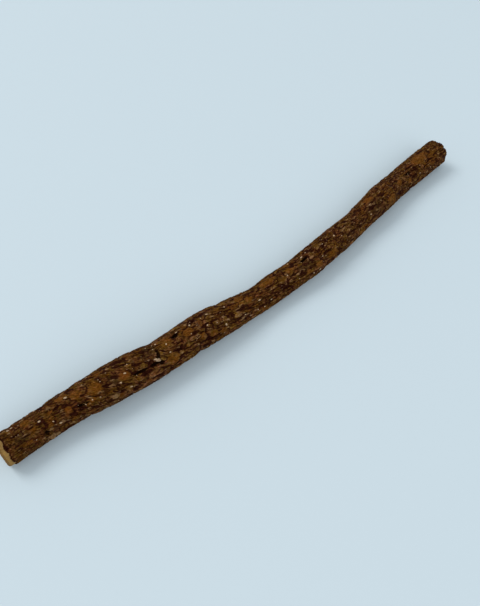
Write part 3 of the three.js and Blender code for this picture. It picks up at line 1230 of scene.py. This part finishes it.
@dataclass(frozen=True)
class WoodFinish:
    """Bare licorice wood: pale yellow, fibrous, with rays and rings on the cut faces."""

    name: str = "yellow_wood"
    grain: Grain = Grain(1.3, 0.18, 0.07)
    pale: Colour = shade(136, 110, 64)
    warm: Colour = shade(108, 80, 40)
    amber: Colour = shade(138, 104, 44)
    ray: Colour = shade(74, 52, 27)
    rind: Colour = shade(52, 31, 15)
    rings: tuple[tuple[float, Colour], ...] = (
        (0.0, (0.62, 0.52, 0.4)),
        (0.12, (1.0, 1.0, 0.95)),
        (0.66, (1.0, 0.98, 0.9)),
        (0.76, (0.66, 0.56, 0.44)),
        (0.8, (0.95, 0.86, 0.7)),
        (1.0, (0.8, 0.72, 0.6)),
    )
    pale_streaks: Span = Span(0.32, 0.68)
    amber_patches: Span = Span(0.42, 0.6, 0.6)
    ray_scale: float = 7.0
    ray_detail: float = 3.0
    ray_edge: Span = Span(0.5, 0.66, 0.75)
    ring_waver: Span = Span(0.3, 0.7, 0.08)
    rim_edge: Span = Span(0.05, 0.22)
    rim_streaks: Span = Span(0.35, 0.6, 0.7)
    rind_edge: Span = Span(0.45, 0.95, 0.85)
    smoothest: float = 0.6
    roughness: float = 0.3
    specular: float = 0.15

    def material(self) -> bpy.types.Material:
        """The wood's material.

        Returns:
            The material.
        """
        made, wire, shader, grain = start_material(self.name, self.grain)
        mottle, streak = grain.outputs["Mottle"], grain.outputs["Streak"]
        colour = wire.mix(wire.span(streak, self.pale_streaks), self.warm, self.pale)
        colour = wire.mix(wire.span(mottle, self.amber_patches), colour, self.amber)

        rays = wire.add("ShaderNodeTexNoise")
        rays.inputs["Scale"].default_value = self.ray_scale
        rays.inputs["Detail"].default_value = self.ray_detail
        wire.feed(wire.attribute("ray", "Vector"), rays.inputs["Vector"])
        face = wire.attribute("face")
        dark = wire.maths("MULTIPLY", wire.span(rays.outputs["Fac"], self.ray_edge), face)
        colour = wire.mix(dark, colour, self.ray)
        wavering = wire.maths("ADD", wire.attribute("ring"), wire.span(mottle, self.ring_waver))
        rings = wire.ramp(wavering, self.rings)
        colour = wire.mix(face, colour, wire.mix(1.0, colour, rings, "MULTIPLY"))

        rim = wire.span(wire.maths("MULTIPLY", face, wire.maths("SUBTRACT", 1.0, face)), self.rim_edge)
        rim = wire.maths("MULTIPLY", rim, wire.span(streak, self.rim_streaks))
        colour = wire.mix(rim, colour, self.ray)
        rind = wire.maths("ADD", wire.attribute("rind"), wire.maths("SUBTRACT", mottle, 0.5))
        colour = wire.mix(wire.span(rind, self.rind_edge), colour, self.rind)
        wire.feed(colour, shader.inputs["Base Color"])
        rough = wire.maths("ADD", wire.maths("MULTIPLY", streak, self.roughness), self.smoothest)
        wire.feed(rough, shader.inputs["Roughness"])
        shader.inputs["Specular IOR Level"].default_value = self.specular
        return made


@dataclass(frozen=True)
class CrumbFinish:
    """Pale crumbs, scales and fibres that cling to the bark."""

    name: str
    dark: Colour
    light: Colour
    roughness: float = 0.6
    specular: float = 0.15
    grain: Grain = Grain(2.5, 0.5, 0.03)

    def material(self) -> bpy.types.Material:
        """The crumbs' material, whose colour changes from one to the next.

        Returns:
            The material.
        """
        made, wire, shader, grain = start_material(self.name, self.grain)
        mottled = wire.maths("SUBTRACT", grain.outputs["Mottle"], 0.5)
        share = wire.span(wire.maths("ADD", wire.attribute("tone"), mottled), Span(0.0, 1.0))
        wire.feed(wire.mix(share, self.dark, self.light), shader.inputs["Base Color"])
        shader.inputs["Roughness"].default_value = self.roughness
        shader.inputs["Specular IOR Level"].default_value = self.specular
        return made


# The root and what clings to it


class Rows(NamedTuple):
    """Rows of corners round the root, and what each row belongs to."""

    x: Grid
    angle: Grid
    radius: Grid
    skin_x: Grid  # where along the root the bark's pattern is read
    is_wood: list[bool]
    on_face: list[float]  # 1 on a cut face, 0 on the root's side


@dataclass
class RootBody:
    """The root itself: one closed surface of bark and bare wood."""

    skin: BarkSkin
    bark_finish: BarkFinish = BarkFinish()
    wood_finish: WoodFinish = WoodFinish()
    around: int = 160
    along: int = 555
    near_rim: float = 0.7
    far_rim: float = 1.2
    recess: float = 0.2
    bare_wood: float = 2.0
    tongues: Layer = Layer(0.65, 9, 1.0, 90)
    teeth: Layer = Layer(0.5, 23, 1.0, 104)
    nicks: Layer = Layer(0.26, 53, 1.0, 142)
    step_run: float = 0.1
    cleft_depth: float = 0.35
    cleft_cells: int = 9
    cleft_width: float = 0.34
    cleft_winding: float = 1.5  # cells from the middle of the cut to its rim
    face_fibres: int = 90
    face_fibre_length: float = 0.25  # as a share of the cut's radius
    face_fibre_height: float = 0.07
    near_seed: int = 81
    far_seed: int = 82
    face_rows: int = 14
    middle_share: float = 0.07  # the innermost row of a cut, as a share of its radius
    near_share: float = 0.97  # the outermost row of the near cut
    far_shares: tuple[float, float, float] = (0.985, 0.95, 0.92)  # the far cut's outer rows
    recess_run: float = 0.05  # the share over which the far wood sinks below the bark
    near_rim_rows: int = 7
    bare_rows: int = 8
    far_rim_rows: int = 13
    rim_relief: float = 0.5  # how much of the bark's relief the far rim has lengthways
    fibres: Layer = Layer(0.03, 72, 5.0, 301)
    inset: float = 0.08  # how far the bare wood lies below the bark's even radius
    ray_fineness: float = 3.2
    ray_length: float = 0.35  # the smaller, the longer
    far_rind: tuple[float, float] = (0.72, 1.0)
    near_rind: tuple[float, float] = (-0.7, 0.1)
    weathered_side: float = 80.0
    weathered_edge: tuple[float, float] = (0.2, 0.9)
    weathered_share: float = 0.62
    torn_run: float = 4.0  # the painted shade at the bark's ragged edge, in runs of its step
    torn_edge_shade: float = 0.85

    def ragged_edge(self, angle: Grid) -> Grid:
        """How far from the near cut the bark's ragged edge lies.

        Args:
            angle: Angles round the root.

        Returns:
            The distance at each.
        """
        turn, middle = angle / FULL_TURN, np.full(angle.shape, 0.5)
        layers = (self.tongues, self.teeth, self.nicks)
        return self.bare_wood + sum(layer.lift(turn, middle) for layer in layers)

    def cleft(self, share: float, angle: Grid, seed: int) -> Grid:
        """The depth of the radial drying cracks and the ends of the fibres on a cut face.

        Args:
            share: The share of the face's radius.
            angle: Angles round the root.
            seed: Sets one face apart from the other.

        Returns:
            How far each place lies below the even face.
        """
        turn, along = angle / FULL_TURN, np.full(angle.shape, self.cleft_winding * share)
        ray = 2 * noise(turn * self.cleft_cells, along, self.cleft_cells, seed) - 1
        depth = np.maximum(0, 1 - np.abs(ray) / self.cleft_width)
        along = np.full(angle.shape, share / self.face_fibre_length)
        ends = noise(turn * self.face_fibres, along, self.face_fibres, seed + 7)
        split = self.cleft_depth * depth * math.sin(math.pi * share)
        return split + self.face_fibre_height * (ends - 0.5)

    def bark_radius(self, x: Grid, angle: Grid) -> Grid:
        """The bark's outer radius."""
        return self.skin.form.roundness(x, angle) + self.skin.at(x, angle).height

    def wood_radius(self, x: Grid, angle: Grid) -> Grid:
        """The radius of the wood under the bark, with its fibres.

        Args:
            x: Places along the root.
            angle: Angles round it.

        Returns:
            The radius at each place.
        """
        form = self.skin.form
        under = form.wood_share * self.skin.at(x, angle).coarse - self.inset
        return form.roundness(x, angle) + under + self.fibres.lift(form.turn(x, angle), x)

    def rows(self) -> Rows:
        """All rows, from the middle of the near cut to the middle of the far cut.

        Returns:
            The rows, without the two middles.
        """
        form, half = self.skin.form, self.skin.form.half
        ring = np.arange(self.around) * FULL_TURN / self.around
        made: list[tuple[Grid, Grid, Grid, Grid, bool, float]] = []

        def put(
            x: Grid, angle: Grid, radius: Grid, wood: bool, face: float, read_x: Grid | None = None
        ) -> None:
            """Adds one row.

            Args:
                x: Places along the root.
                angle: Angles round it.
                radius: Distances from its middle line.
                wood: Whether the row is bare wood.
                face: 1 on a cut face, 0 on the root's side.
                read_x: Where the bark's pattern is read, if not at x.
            """
            x = np.broadcast_to(x, angle.shape)
            made.append((x, angle, radius, x if read_x is None else read_x, wood, face))

        near = ring + float(form.grain.at(-half))
        ones = np.ones(near.shape)
        flat = self.wood_radius((-half + self.near_rim) * ones, near) - self.near_rim
        for share in np.linspace(self.middle_share, self.near_share, self.face_rows):
            put(-half + self.cleft(share, near, self.near_seed), near, flat * share, True, 1.0)
        for a in np.radians(np.linspace(0, 90, self.near_rim_rows)):
            across = flat + self.near_rim * math.sin(a)
            put(-half + self.near_rim * (1 - math.cos(a)) * ones, near, across, True, math.cos(a))
        foot = -half + self.ragged_edge(near) - self.step_run
        for share in np.linspace(0, 1, self.bare_rows)[1:]:
            x = (-half + self.near_rim) * (1 - share) + foot * share
            put(x, near, self.wood_radius(x, near), True, 0.0)

        for share in np.linspace(0, 1, self.along + 1):
            angle = ring + float(form.grain.at(-half + 2 * half * share))
            start = -half + self.ragged_edge(angle) + self.step_run
            x = start * (1 - share) + (half - self.far_rim) * share
            put(x, angle, self.bark_radius(x, angle), False, 0.0)

        far = ring + float(form.grain.at(half))
        rim_x = (half - self.far_rim) * ones
        even = form.roundness(rim_x, far)
        for a in np.radians(np.linspace(90, 0, self.far_rim_rows)[1:]):
            skin_x = rim_x + self.far_rim * (math.pi / 2 - a)
            height = self.skin.at(skin_x, far).height
            x = rim_x + (self.far_rim + height * self.rim_relief) * math.cos(a)
            radius = even - self.far_rim + (self.far_rim + height) * math.sin(a)
            put(x, far, radius, False, 0.0, skin_x)
        inner = made[-1][2]
        bark, step, wood = self.far_shares
        put(made[-1][0], far, inner * bark, False, 1.0)
        for share in (step, *np.linspace(wood, self.middle_share, self.face_rows)):
            sunk = self.recess * min(1.0, (1 - share) / self.recess_run)
            put(half - sunk - self.cleft(share, far, self.far_seed), far, inner * share, True, 1.0)
        x, angle, radius, skin_x, is_wood, on_face = zip(*made)
        grids = (np.array(x), np.array(angle), np.array(radius), np.array(skin_x))
        return Rows(*grids, list(is_wood), list(on_face))

    def faces(self, count: int) -> list[tuple[int, ...]]:
        """The faces between the rows, with a fan round the middle of each cut.

        Args:
            count: How many rows there are.

        Returns:
            The corners of each face. The first corner and the last are the middles of the cuts.
        """
        n = self.around
        pairs = [(a, (a + 1) % n) for a in range(n)]
        made: list[tuple[int, ...]] = [(0, 1 + b, 1 + a) for a, b in pairs]
        for row in range(count - 1):
            here, ahead = 1 + row * n, 1 + (row + 1) * n
            made.extend((here + a, here + b, ahead + b, ahead + a) for a, b in pairs)
        here, last = 1 + (count - 1) * n, 1 + count * n
        made.extend((last, here + a, here + b) for a, b in pairs)
        return made

    def build(self) -> bpy.types.Object:
        """The dressed root, which stands for the solid.

        Returns:
            The piece.
        """
        form, rows = self.skin.form, self.rows()
        grid = form.place(rows.x, rows.angle, rows.radius).reshape(-1, 3)
        middles = form.place(*np.array([[-form.half, form.half - self.recess], [0, 0], [0, 0]]))
        corners = np.concatenate((middles[:1], grid, middles[1:]))
        shell = Shell(corners, self.faces(len(rows.is_wood)))
        piece = make_piece("root_bark", shell, self.values(rows))
        piece.data.materials.append(self.bark_finish.material())
        piece.data.materials.append(self.wood_finish.material())
        between = [here and ahead for here, ahead in zip(rows.is_wood, rows.is_wood[1:])]
        woody = np.repeat([True, *between, True], self.around)
        piece.data.polygons.foreach_set("material_index", woody.astype(np.int32))
        hand_over(piece)
        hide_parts(NODE)
        return piece

    def values(self, rows: Rows) -> dict[str, Grid]:
        """The named values that the finishes read.

        Args:
            rows: The rows of corners.

        Returns:
            For each name, one value for each corner.
        """
        form = self.skin.form
        skin = self.skin.at(rows.skin_x, rows.angle)

        def ends(value: Grid) -> Grid:
            """A grid's values in a line, with one more at each end for the middles of the cuts."""
            line = value.reshape(-1, *value.shape[2:])
            return np.concatenate((line[:1], line, line[-1:]))

        face = np.array(rows.on_face)[:, None] * np.ones((1, self.around))
        side = face < 0.5
        a = np.radians(rows.angle)
        share = rows.radius / form.girth.at(rows.x)
        fine = self.ray_fineness
        ray = np.stack((fine * np.cos(a), fine * np.sin(a), self.ray_length * share), -1)
        edge = rows.x - (-form.half + self.ragged_edge(rows.angle))
        inner = form.girth.at(form.half) - self.far_rim
        far_rind = smooth(*self.far_rind, rows.radius / inner) * (rows.x > 0)
        rind = np.maximum(smooth(*self.near_rind, edge) * side, far_rind)
        weathered = smooth(*self.weathered_edge, np.cos(a - math.radians(self.weathered_side)))
        rind = np.maximum(rind, self.weathered_share * weathered * side)
        # Painted shade along the bark's step at its ragged edge, with the cracks' colour.
        torn = (1 - smooth(self.step_run, self.torn_run * self.step_run, edge)) * (edge > 0)
        skin = skin._replace(crack=np.maximum(skin.crack, self.torn_edge_shade * torn))
        keys = ("crack", "plate", "scar", "tone", "pale", "soot", "rust", "tinge")
        named = {key: ends(getattr(skin, key)) for key in keys}
        straight = form.straight(rows.skin_x, rows.angle, rows.radius)
        cut = {"ray": ends(ray), "ring": ends(share), "face": ends(face), "rind": ends(rind)}
        return {**named, **cut, "grain": ends(straight)}


def make_litter(name: str, shells: list[Shell], tones: list[float], finish: CrumbFinish) -> bpy.types.Object:
    """A piece made of many small things that cling to the root.

    Args:
        name: The piece's name.
        shells: The small things.
        tones: How light each of them is, from 0 to 1.
        finish: Their finish.

    Returns:
        The piece.
    """
    whole = join_shells(shells)
    tone = np.repeat(tones, [len(shell.corners) for shell in shells])
    piece = make_piece(name, whole, {"tone": tone, "grain": whole.corners})
    piece.data.materials.append(finish.material())
    hand_over(piece)
    return piece


@dataclass
class Crumbs:
    """Pale crumbs of bark and dust, half sunk in the bark."""

    skin: BarkSkin
    finish: CrumbFinish = CrumbFinish("pale_crumb", shade(92, 66, 40), shade(162, 138, 110))
    seed: int = 401
    strewn: int = 430
    # Each placed crumb's x, angle and size
    placed: tuple[tuple[float, float, float], ...] = (
        (-85.3, 69, 0.5), (-84.3, 66, 0.4), (-77.2, 54, 0.5), (-77.9, 104, 0.45), (-69.2, 89, 0.6),
        (-75.0, 130, 0.5), (-73.5, 148, 0.6), (-80.9, 148, 0.4), (-55.0, 132, 0.7), (-52.8, 114, 0.5),
        (-52.7, 160, 0.5), (-50.2, 137, 0.5), (-42.8, 130, 0.9), (-39.0, 96, 0.65), (-41.4, 73, 0.4),
        (-39.3, 124, 0.45), (-30.2, 86, 0.55), (-34.5, 80, 0.45), (-31.4, 113, 0.4), (-28.5, 100, 0.4),
        (-25.8, 117, 0.55), (-24.1, 84, 0.5), (-22.8, 125, 0.4), (-30.6, 138, 0.5), (-20.3, 145, 0.7),
        (-18.0, 83, 0.6), (-20.1, 98, 0.45), (-13.4, 148, 0.45), (-3.4, 156, 0.65), (-7.1, 126, 0.6),
        (-8.8, 158, 0.5), (-6.4, 163, 0.5), (13.9, 168, 0.6), (16.5, 173, 0.7), (13.1, 77, 0.5),
        (15.5, 69, 0.45), (27.0, 98, 0.5), (18.7, 130, 0.4), (21.7, 91, 0.45), (8.5, 57, 0.5),
        (5.3, 107, 0.45), (46.5, 101, 0.5), (44.2, 134, 0.45), (68.6, 99, 0.5), (73.5, 145, 0.5),
        (79.6, 157, 0.45), (-44.0, 118, 0.95), (-43.6, 122, 1.1), (-43.2, 126, 1.0), (-65.3, 137, 0.4),
        (-63.3, 133, 0.45), (-59.6, 97, 0.4), (-51.2, 94, 0.4),
    )  # fmt: skip
    size: Spread = Spread(0.19, 0.28)
    long: Spread = Spread(0.45, 0.5)
    wide: Spread = Spread(0.32, 0.15)
    high: Spread = Spread(0.26, 0.14)
    lumpiness: float = 0.75
    most_spin: float = 50.0
    stand: float = 0.08
    end_margin: float = 4.0
    off_floor: float = 0.8
    most_plate: float = 0.3
    placed_tone: float = 0.8375
    strewn_tone: float = 0.8

    def build(self) -> bpy.types.Object:
        """The crumbs as one piece.

        Returns:
            The piece.
        """
        ball = bmesh.new()
        bmesh.ops.create_icosphere(ball, subdivisions=2, radius=1.0)
        base = np.array([v.co[:] for v in ball.verts])
        faces = [tuple(v.index for v in f.verts) for f in ball.faces]
        ball.free()
        spots = [(*spot, self.placed_tone) for spot in self.placed]
        reach = self.skin.form.half - self.end_margin
        for i in range(self.strewn):
            draw = draws(i, 4, self.seed)
            size, tone = self.size.pick(draw[2] ** 2), self.strewn_tone * draw[3]
            spots.append((reach * (2 * draw[0] - 1), FULL_TURN * draw[1], size, tone))
        places = np.array(spots)
        foot = self.skin.surface(places[:, 0], places[:, 1], coarse=False)
        shells, tones = [], []
        for i, (_, _, size, tone) in enumerate(spots):
            on_plate = foot.plate[i] > self.most_plate and i >= len(self.placed)
            if foot.point[i, 2] < self.off_floor or on_plate:
                continue
            draw = draws(i, 3, self.seed + 1)
            out, grain = foot.out[i], foot.grain[i]
            lumps = chance(np.arange(len(base)), i, self.seed + 2)[:, None]
            lumps = 1 + self.lumpiness * (lumps - 0.5)
            sizes = (self.long.pick(draw[0] ** 2), self.wide.pick(draw[1]), self.high.pick(draw[1]))
            spin = math.radians(self.most_spin * (draw[2] - 0.5))
            ahead = grain * math.cos(spin) + np.cross(out, grain) * math.sin(spin)
            axes = np.array([ahead, np.cross(out, ahead), out])
            corners = (base * lumps * (size * np.array(sizes))) @ axes
            shells.append(Shell(corners + foot.point[i] + out * self.stand * size, faces))
            tones.append(tone)
        return make_litter("bark_crumbs", shells, tones, self.finish)


@dataclass
class LiftedScales:
    """Thin scales of cork that have come away at one end."""

    skin: BarkSkin
    finish: CrumbFinish = CrumbFinish("lifted_cork", shade(54, 30, 10), shade(98, 68, 34), 0.65)
    seed: int = 501
    strewn: int = 150
    # Each placed scale's x, angle, length and width
    placed: tuple[tuple[float, float, float, float], ...] = (
        (-65.0, 136, 2.6, 0.5), (-48.4, 126, 2.0, 0.6), (-70.6, 93, 2.8, 0.7), (46.3, 98, 2.6, 0.8),
        (-51.0, 100, 2.6, 0.8), (-57.0, 128, 2.8, 0.6),
    )  # fmt: skip
    length: Spread = Spread(0.8, 1.6)
    width: Spread = Spread(0.35, 0.45)
    lift: Spread = Spread(0.05, 0.16)
    placed_lift: float = 0.22
    placed_tone: float = 0.8
    steps: int = 9
    ribs: int = 5
    thickness: float = 0.09
    edge_thinning: float = 0.6
    bluntness: float = 3.5
    end_width: float = 0.12
    nibble: Spread = Spread(0.7, 0.6)
    stand: float = 0.02
    end_margin: float = 7.0
    off_floor: float = 0.5
    most_plate: float = 0.3

    def shell(self, foot: Footing, radius: float, size: tuple[float, float, float], seed: int) -> Shell:
        """One scale, from the end that still holds to the end that has lifted.

        Args:
            foot: Where its middle lies.
            radius: The root's radius there.
            size: Its length along the grain, its width, and how far its free end stands off the bark.
            seed: Sets its ragged outline apart from the next one's.

        Returns:
            A thin closed shell.
        """
        length, width, lift = size
        round_ = np.cross(foot.out, foot.grain)
        steps, ribs = np.linspace(-1, 1, self.steps), np.linspace(-1, 1, self.ribs)
        sides = []
        for thick in (self.thickness / 2, -self.thickness / 2):
            for k, s in enumerate(steps):
                taper = (1 - abs(s) ** self.bluntness) ** 0.5 + self.end_width
                for t in ribs:
                    nibble = self.nibble.pick(float(chance(k, seed, self.seed + (5 if t > 0 else 4))))
                    across = 0.5 * width * taper * t * nibble
                    rise = self.stand + lift * ((s + 1) / 2) ** 2 - across * across / (2 * radius)
                    rise += thick * (1 - self.edge_thinning * t * t)
                    flat = foot.grain * (0.5 * length * s) + round_ * across
                    sides.append(foot.point + flat + foot.out * rise)
        n, m = len(steps), len(ribs)
        faces: list[tuple[int, ...]] = []
        for i in range(n - 1):
            for j in range(m - 1):
                a = i * m + j
                faces.append((a, a + m, a + m + 1, a + 1))
                b = n * m + a
                faces.append((b, b + 1, b + m + 1, b + m))
        rim = [i * m for i in range(n)] + [(n - 1) * m + j for j in range(1, m)]
        rim += [i * m + m - 1 for i in range(n - 2, -1, -1)] + list(range(m - 2, 0, -1))
        for a, b in zip(rim, rim[1:] + rim[:1]):
            faces.append((a, n * m + a, n * m + b, b))
        return Shell(np.array(sides), [tuple(reversed(f)) for f in faces])

    def build(self) -> bpy.types.Object:
        """The scales as one piece.

        Returns:
            The piece.
        """
        spots = [(*spot, self.placed_lift, self.placed_tone) for spot in self.placed]
        reach = self.skin.form.half - self.end_margin
        for i in range(self.strewn):
            draw = draws(i, 6, self.seed)
            size = (self.length.pick(draw[2]), self.width.pick(draw[3]), self.lift.pick(draw[4]))
            spots.append((reach * (2 * draw[0] - 1), FULL_TURN * draw[1], *size, draw[5]))
        places = np.array(spots)
        feet = self.skin.surface(places[:, 0], places[:, 1])
        shells, tones = [], []
        for i, (x, _, length, width, lift, tone) in enumerate(spots):
            foot = Footing(*(values[i] for values in feet))
            shell = self.shell(foot, float(self.skin.form.girth.at(x)), (length, width, lift), i)
            if shell.corners[:, 2].min() < self.off_floor or foot.plate > self.most_plate:
                continue
            shells.append(shell)
            tones.append(tone)
        return make_litter("lifted_scales", shells, tones, self.finish)


class Seat(Enum):
    """Where a fibre stands: on the bark's ragged edge, or on the near or the far cut."""

    EDGE = 0
    NEAR = 1
    FAR = 2


@dataclass
class CutFibres:
    """Short fibres left standing at the cuts and along the bark's ragged edge."""

    skin: BarkSkin
    body: RootBody
    finish: CrumbFinish = CrumbFinish("wood_fibre", shade(112, 86, 46), shade(164, 138, 88), 0.7)
    seed: int = 601
    count: int = 90
    sides: int = 5
    rings: int = 5
    taper: float = 0.8
    sag: float = 0.35
    edge_length: Spread = Spread(0.4, 0.7)
    face_length: Spread = Spread(0.2, 0.3)
    thickness: Spread = Spread(0.06, 0.07)
    edge_lean: Spread = Spread(0.25, 0.5)
    face_lean: Spread = Spread(-0.5, 1.0)
    lean_share: float = 0.6
    past_edge: float = 0.15
    in_near_cut: float = 0.12
    in_far_cut: float = 0.1
    near_margin: float = 1.1
    far_margin: float = 1.5
    rooted: float = 0.12
    off_floor: float = 0.6

    def shell(self, start: Vector, way: Vector, bend: Vector, length: float, thick: float) -> Shell:
        """One tapering, bent fibre.

        Args:
            start: Where it starts.
            way: Which way it starts off.
            bend: Which way it bends.
            length: Its length.
            thick: Its thickness at the start.

        Returns:
            A shell that is closed at both ends.
        """
        corners = []
        aside = way.orthogonal().normalized()
        for ring in range(self.rings):
            s = ring / (self.rings - 1)
            middle = start + way * (length * s) + bend * (length * self.sag * s * s)
            for k in range(self.sides):
                spoke = Matrix.Rotation(2 * math.pi * k / self.sides, 3, way) @ aside
                corners.append((middle + spoke * (0.5 * thick * (1 - self.taper * s)))[:])
        faces: list[tuple[int, ...]] = []
        for ring in range(self.rings - 1):
            for k in range(self.sides):
                a, b = ring * self.sides + k, ring * self.sides + (k + 1) % self.sides
                faces.append((a, b, b + self.sides, a + self.sides))
        faces.append(tuple(reversed(range(self.sides))))
        top = (self.rings - 1) * self.sides
        faces.append(tuple(range(top, top + self.sides)))
        return Shell(np.array(corners), faces)

    def build(self) -> bpy.types.Object:
        """The fibres as one piece.

        Returns:
            The piece.
        """
        form = self.skin.form
        shells, tones = [], []
        for i in range(self.count):
            draw = draws(i, 8, self.seed)
            angle, seat = FULL_TURN * draw[0], Seat(i % len(Seat))
            if seat is Seat.EDGE:
                x = -form.half + float(self.body.ragged_edge(np.array([angle]))[0]) + self.past_edge
                radius = float(self.body.wood_radius(np.array([x]), np.array([angle]))[0])
                length, lean = self.edge_length.pick(draw[1]), self.edge_lean.pick(draw[3])
            else:
                near = seat is Seat.NEAR
                deep = form.half - self.body.recess - self.in_far_cut
                x = (-form.half + self.in_near_cut) if near else deep
                limit = float(form.girth.at(x)) - (self.near_margin if near else self.far_margin)
                radius = limit * math.sqrt(draw[2])
                length, lean = self.face_length.pick(draw[1]), self.face_lean.pick(draw[3])
            start = Vector(form.place(np.array([x]), np.array([angle]), np.array([radius]))[0])
            if start.z < self.off_floor:
                continue
            out = Vector((0, math.cos(math.radians(angle)), math.sin(math.radians(angle))))
            way = Vector((1 if seat is Seat.FAR else -1, 0, 0))
            way = (way + out * lean * self.lean_share).normalized()
            bend = Vector((0, draw[4] - 0.5, draw[5] - 0.5))
            thick = self.thickness.pick(draw[6])
            shells.append(self.shell(start - way * self.rooted, way, bend, length, thick))
            tones.append(draw[7])
        return make_litter("cut_fibres", shells, tones, self.finish)


# The studio


@dataclass(frozen=True)
class Lamp:
    """A square soft light: where it stands, its size and its strength."""

    name: str
    place_m: tuple[float, float, float]
    size_m: float
    watts: float
    colour: Colour = (1.0, 1.0, 1.0)


@dataclass
class Studio:
    """A plain pale floor, soft lights and the camera."""

    floor_colour: Colour = shade(176, 190, 198)
    floor_roughness: float = 0.7
    floor_specular: float = 0.2
    floor_reach_m: float = 12.0
    sky_colour: Colour = (0.95, 0.98, 1.0)
    sky_strength: float = 0.78
    lamps: tuple[Lamp, ...] = (
        Lamp("key", (-0.8, 1.76, 2.4), 1.44, 52.0, (1.0, 0.98, 0.95)),
        Lamp("fill", (-0.8, -2.4, 1.8), 2.4, 44.0, (1.0, 1.0, 1.0)),
    )
    camera_m: tuple[float, float, float] = (-0.08848, -0.08901, 0.16032)
    heading: tuple[float, float] = (0.661, 0.750)
    tilt: float = 53.1
    focal_px: float = 640.0
    image_px: tuple[int, int] = (480, 606)
    sensor_mm: float = 36.0
    clip_start_m: float = 0.005

    def floor(self) -> None:
        """The floor, whose surface is at the level that the root rests on."""
        mesh = bpy.data.meshes.new("floor")
        reach = self.floor_reach_m
        corners = [(-reach, -reach, 0), (reach, -reach, 0), (reach, reach, 0), (-reach, reach, 0)]
        mesh.from_pydata(corners, [], [(0, 1, 2, 3)])
        piece = bpy.data.objects.new("floor", mesh)
        bpy.context.scene.collection.objects.link(piece)
        material = bpy.data.materials.new("pale_floor")
        material.use_nodes = True
        shader = material.node_tree.nodes["Principled BSDF"]
        shader.inputs["Base Color"].default_value = (*self.floor_colour, 1.0)
        shader.inputs["Roughness"].default_value = self.floor_roughness
        shader.inputs["Specular IOR Level"].default_value = self.floor_specular
        mesh.materials.append(material)

    def light(self) -> None:
        """The sky and the lamps."""
        scene = bpy.context.scene
        world = bpy.data.worlds.new("soft_sky")
        world.use_nodes = True
        sky = world.node_tree.nodes["Background"]
        sky.inputs["Color"].default_value = (*self.sky_colour, 1.0)
        sky.inputs["Strength"].default_value = self.sky_strength
        scene.world = world
        for lamp in self.lamps:
            data = bpy.data.lights.new(lamp.name, "AREA")
            data.size, data.energy, data.color = lamp.size_m, lamp.watts, lamp.colour
            thing = bpy.data.objects.new(lamp.name, data)
            thing.location = lamp.place_m
            thing.rotation_euler = (-Vector(lamp.place_m)).to_track_quat("-Z", "Y").to_euler()
            scene.collection.objects.link(thing)

    def camera(self) -> None:
        """The camera, which looks down on the root from beside its near end."""
        data = bpy.data.cameras.new("camera")
        data.sensor_width, data.sensor_fit = self.sensor_mm, "AUTO"
        data.lens = self.focal_px / max(self.image_px) * self.sensor_mm
        data.clip_start = self.clip_start_m
        ahead = Vector((*self.heading, 0)).normalized()
        down = math.radians(self.tilt)
        look = ahead * math.cos(down) - Vector((0, 0, math.sin(down)))
        right = look.cross(Vector((0, 0, 1))).normalized()
        axes = Matrix((right, right.cross(look), -look)).transposed()
        thing = bpy.data.objects.new("camera", data)
        thing.matrix_world = Matrix.Translation(self.camera_m) @ axes.to_4x4()
        bpy.context.scene.collection.objects.link(thing)
        bpy.context.scene.camera = thing

    def build(self) -> None:
        """Sets up the studio."""
        self.floor()
        self.light()
        self.camera()
        bpy.context.scene.view_settings.view_transform = "Standard"
        LOG.info("studio: %d lamps", len(self.lamps))


def main() -> None:
    """Builds the root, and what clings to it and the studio."""
    logging.basicConfig(level=logging.INFO, format="%(name)s: %(message)s")
    skin = BarkSkin(RootForm())
    body = RootBody(skin)
    body.build()
    Crumbs(skin).build()
    LiftedScales(skin).build()
    CutFibres(skin, body).build()
    Studio().build()


if __name__ == "__main__":
    main()
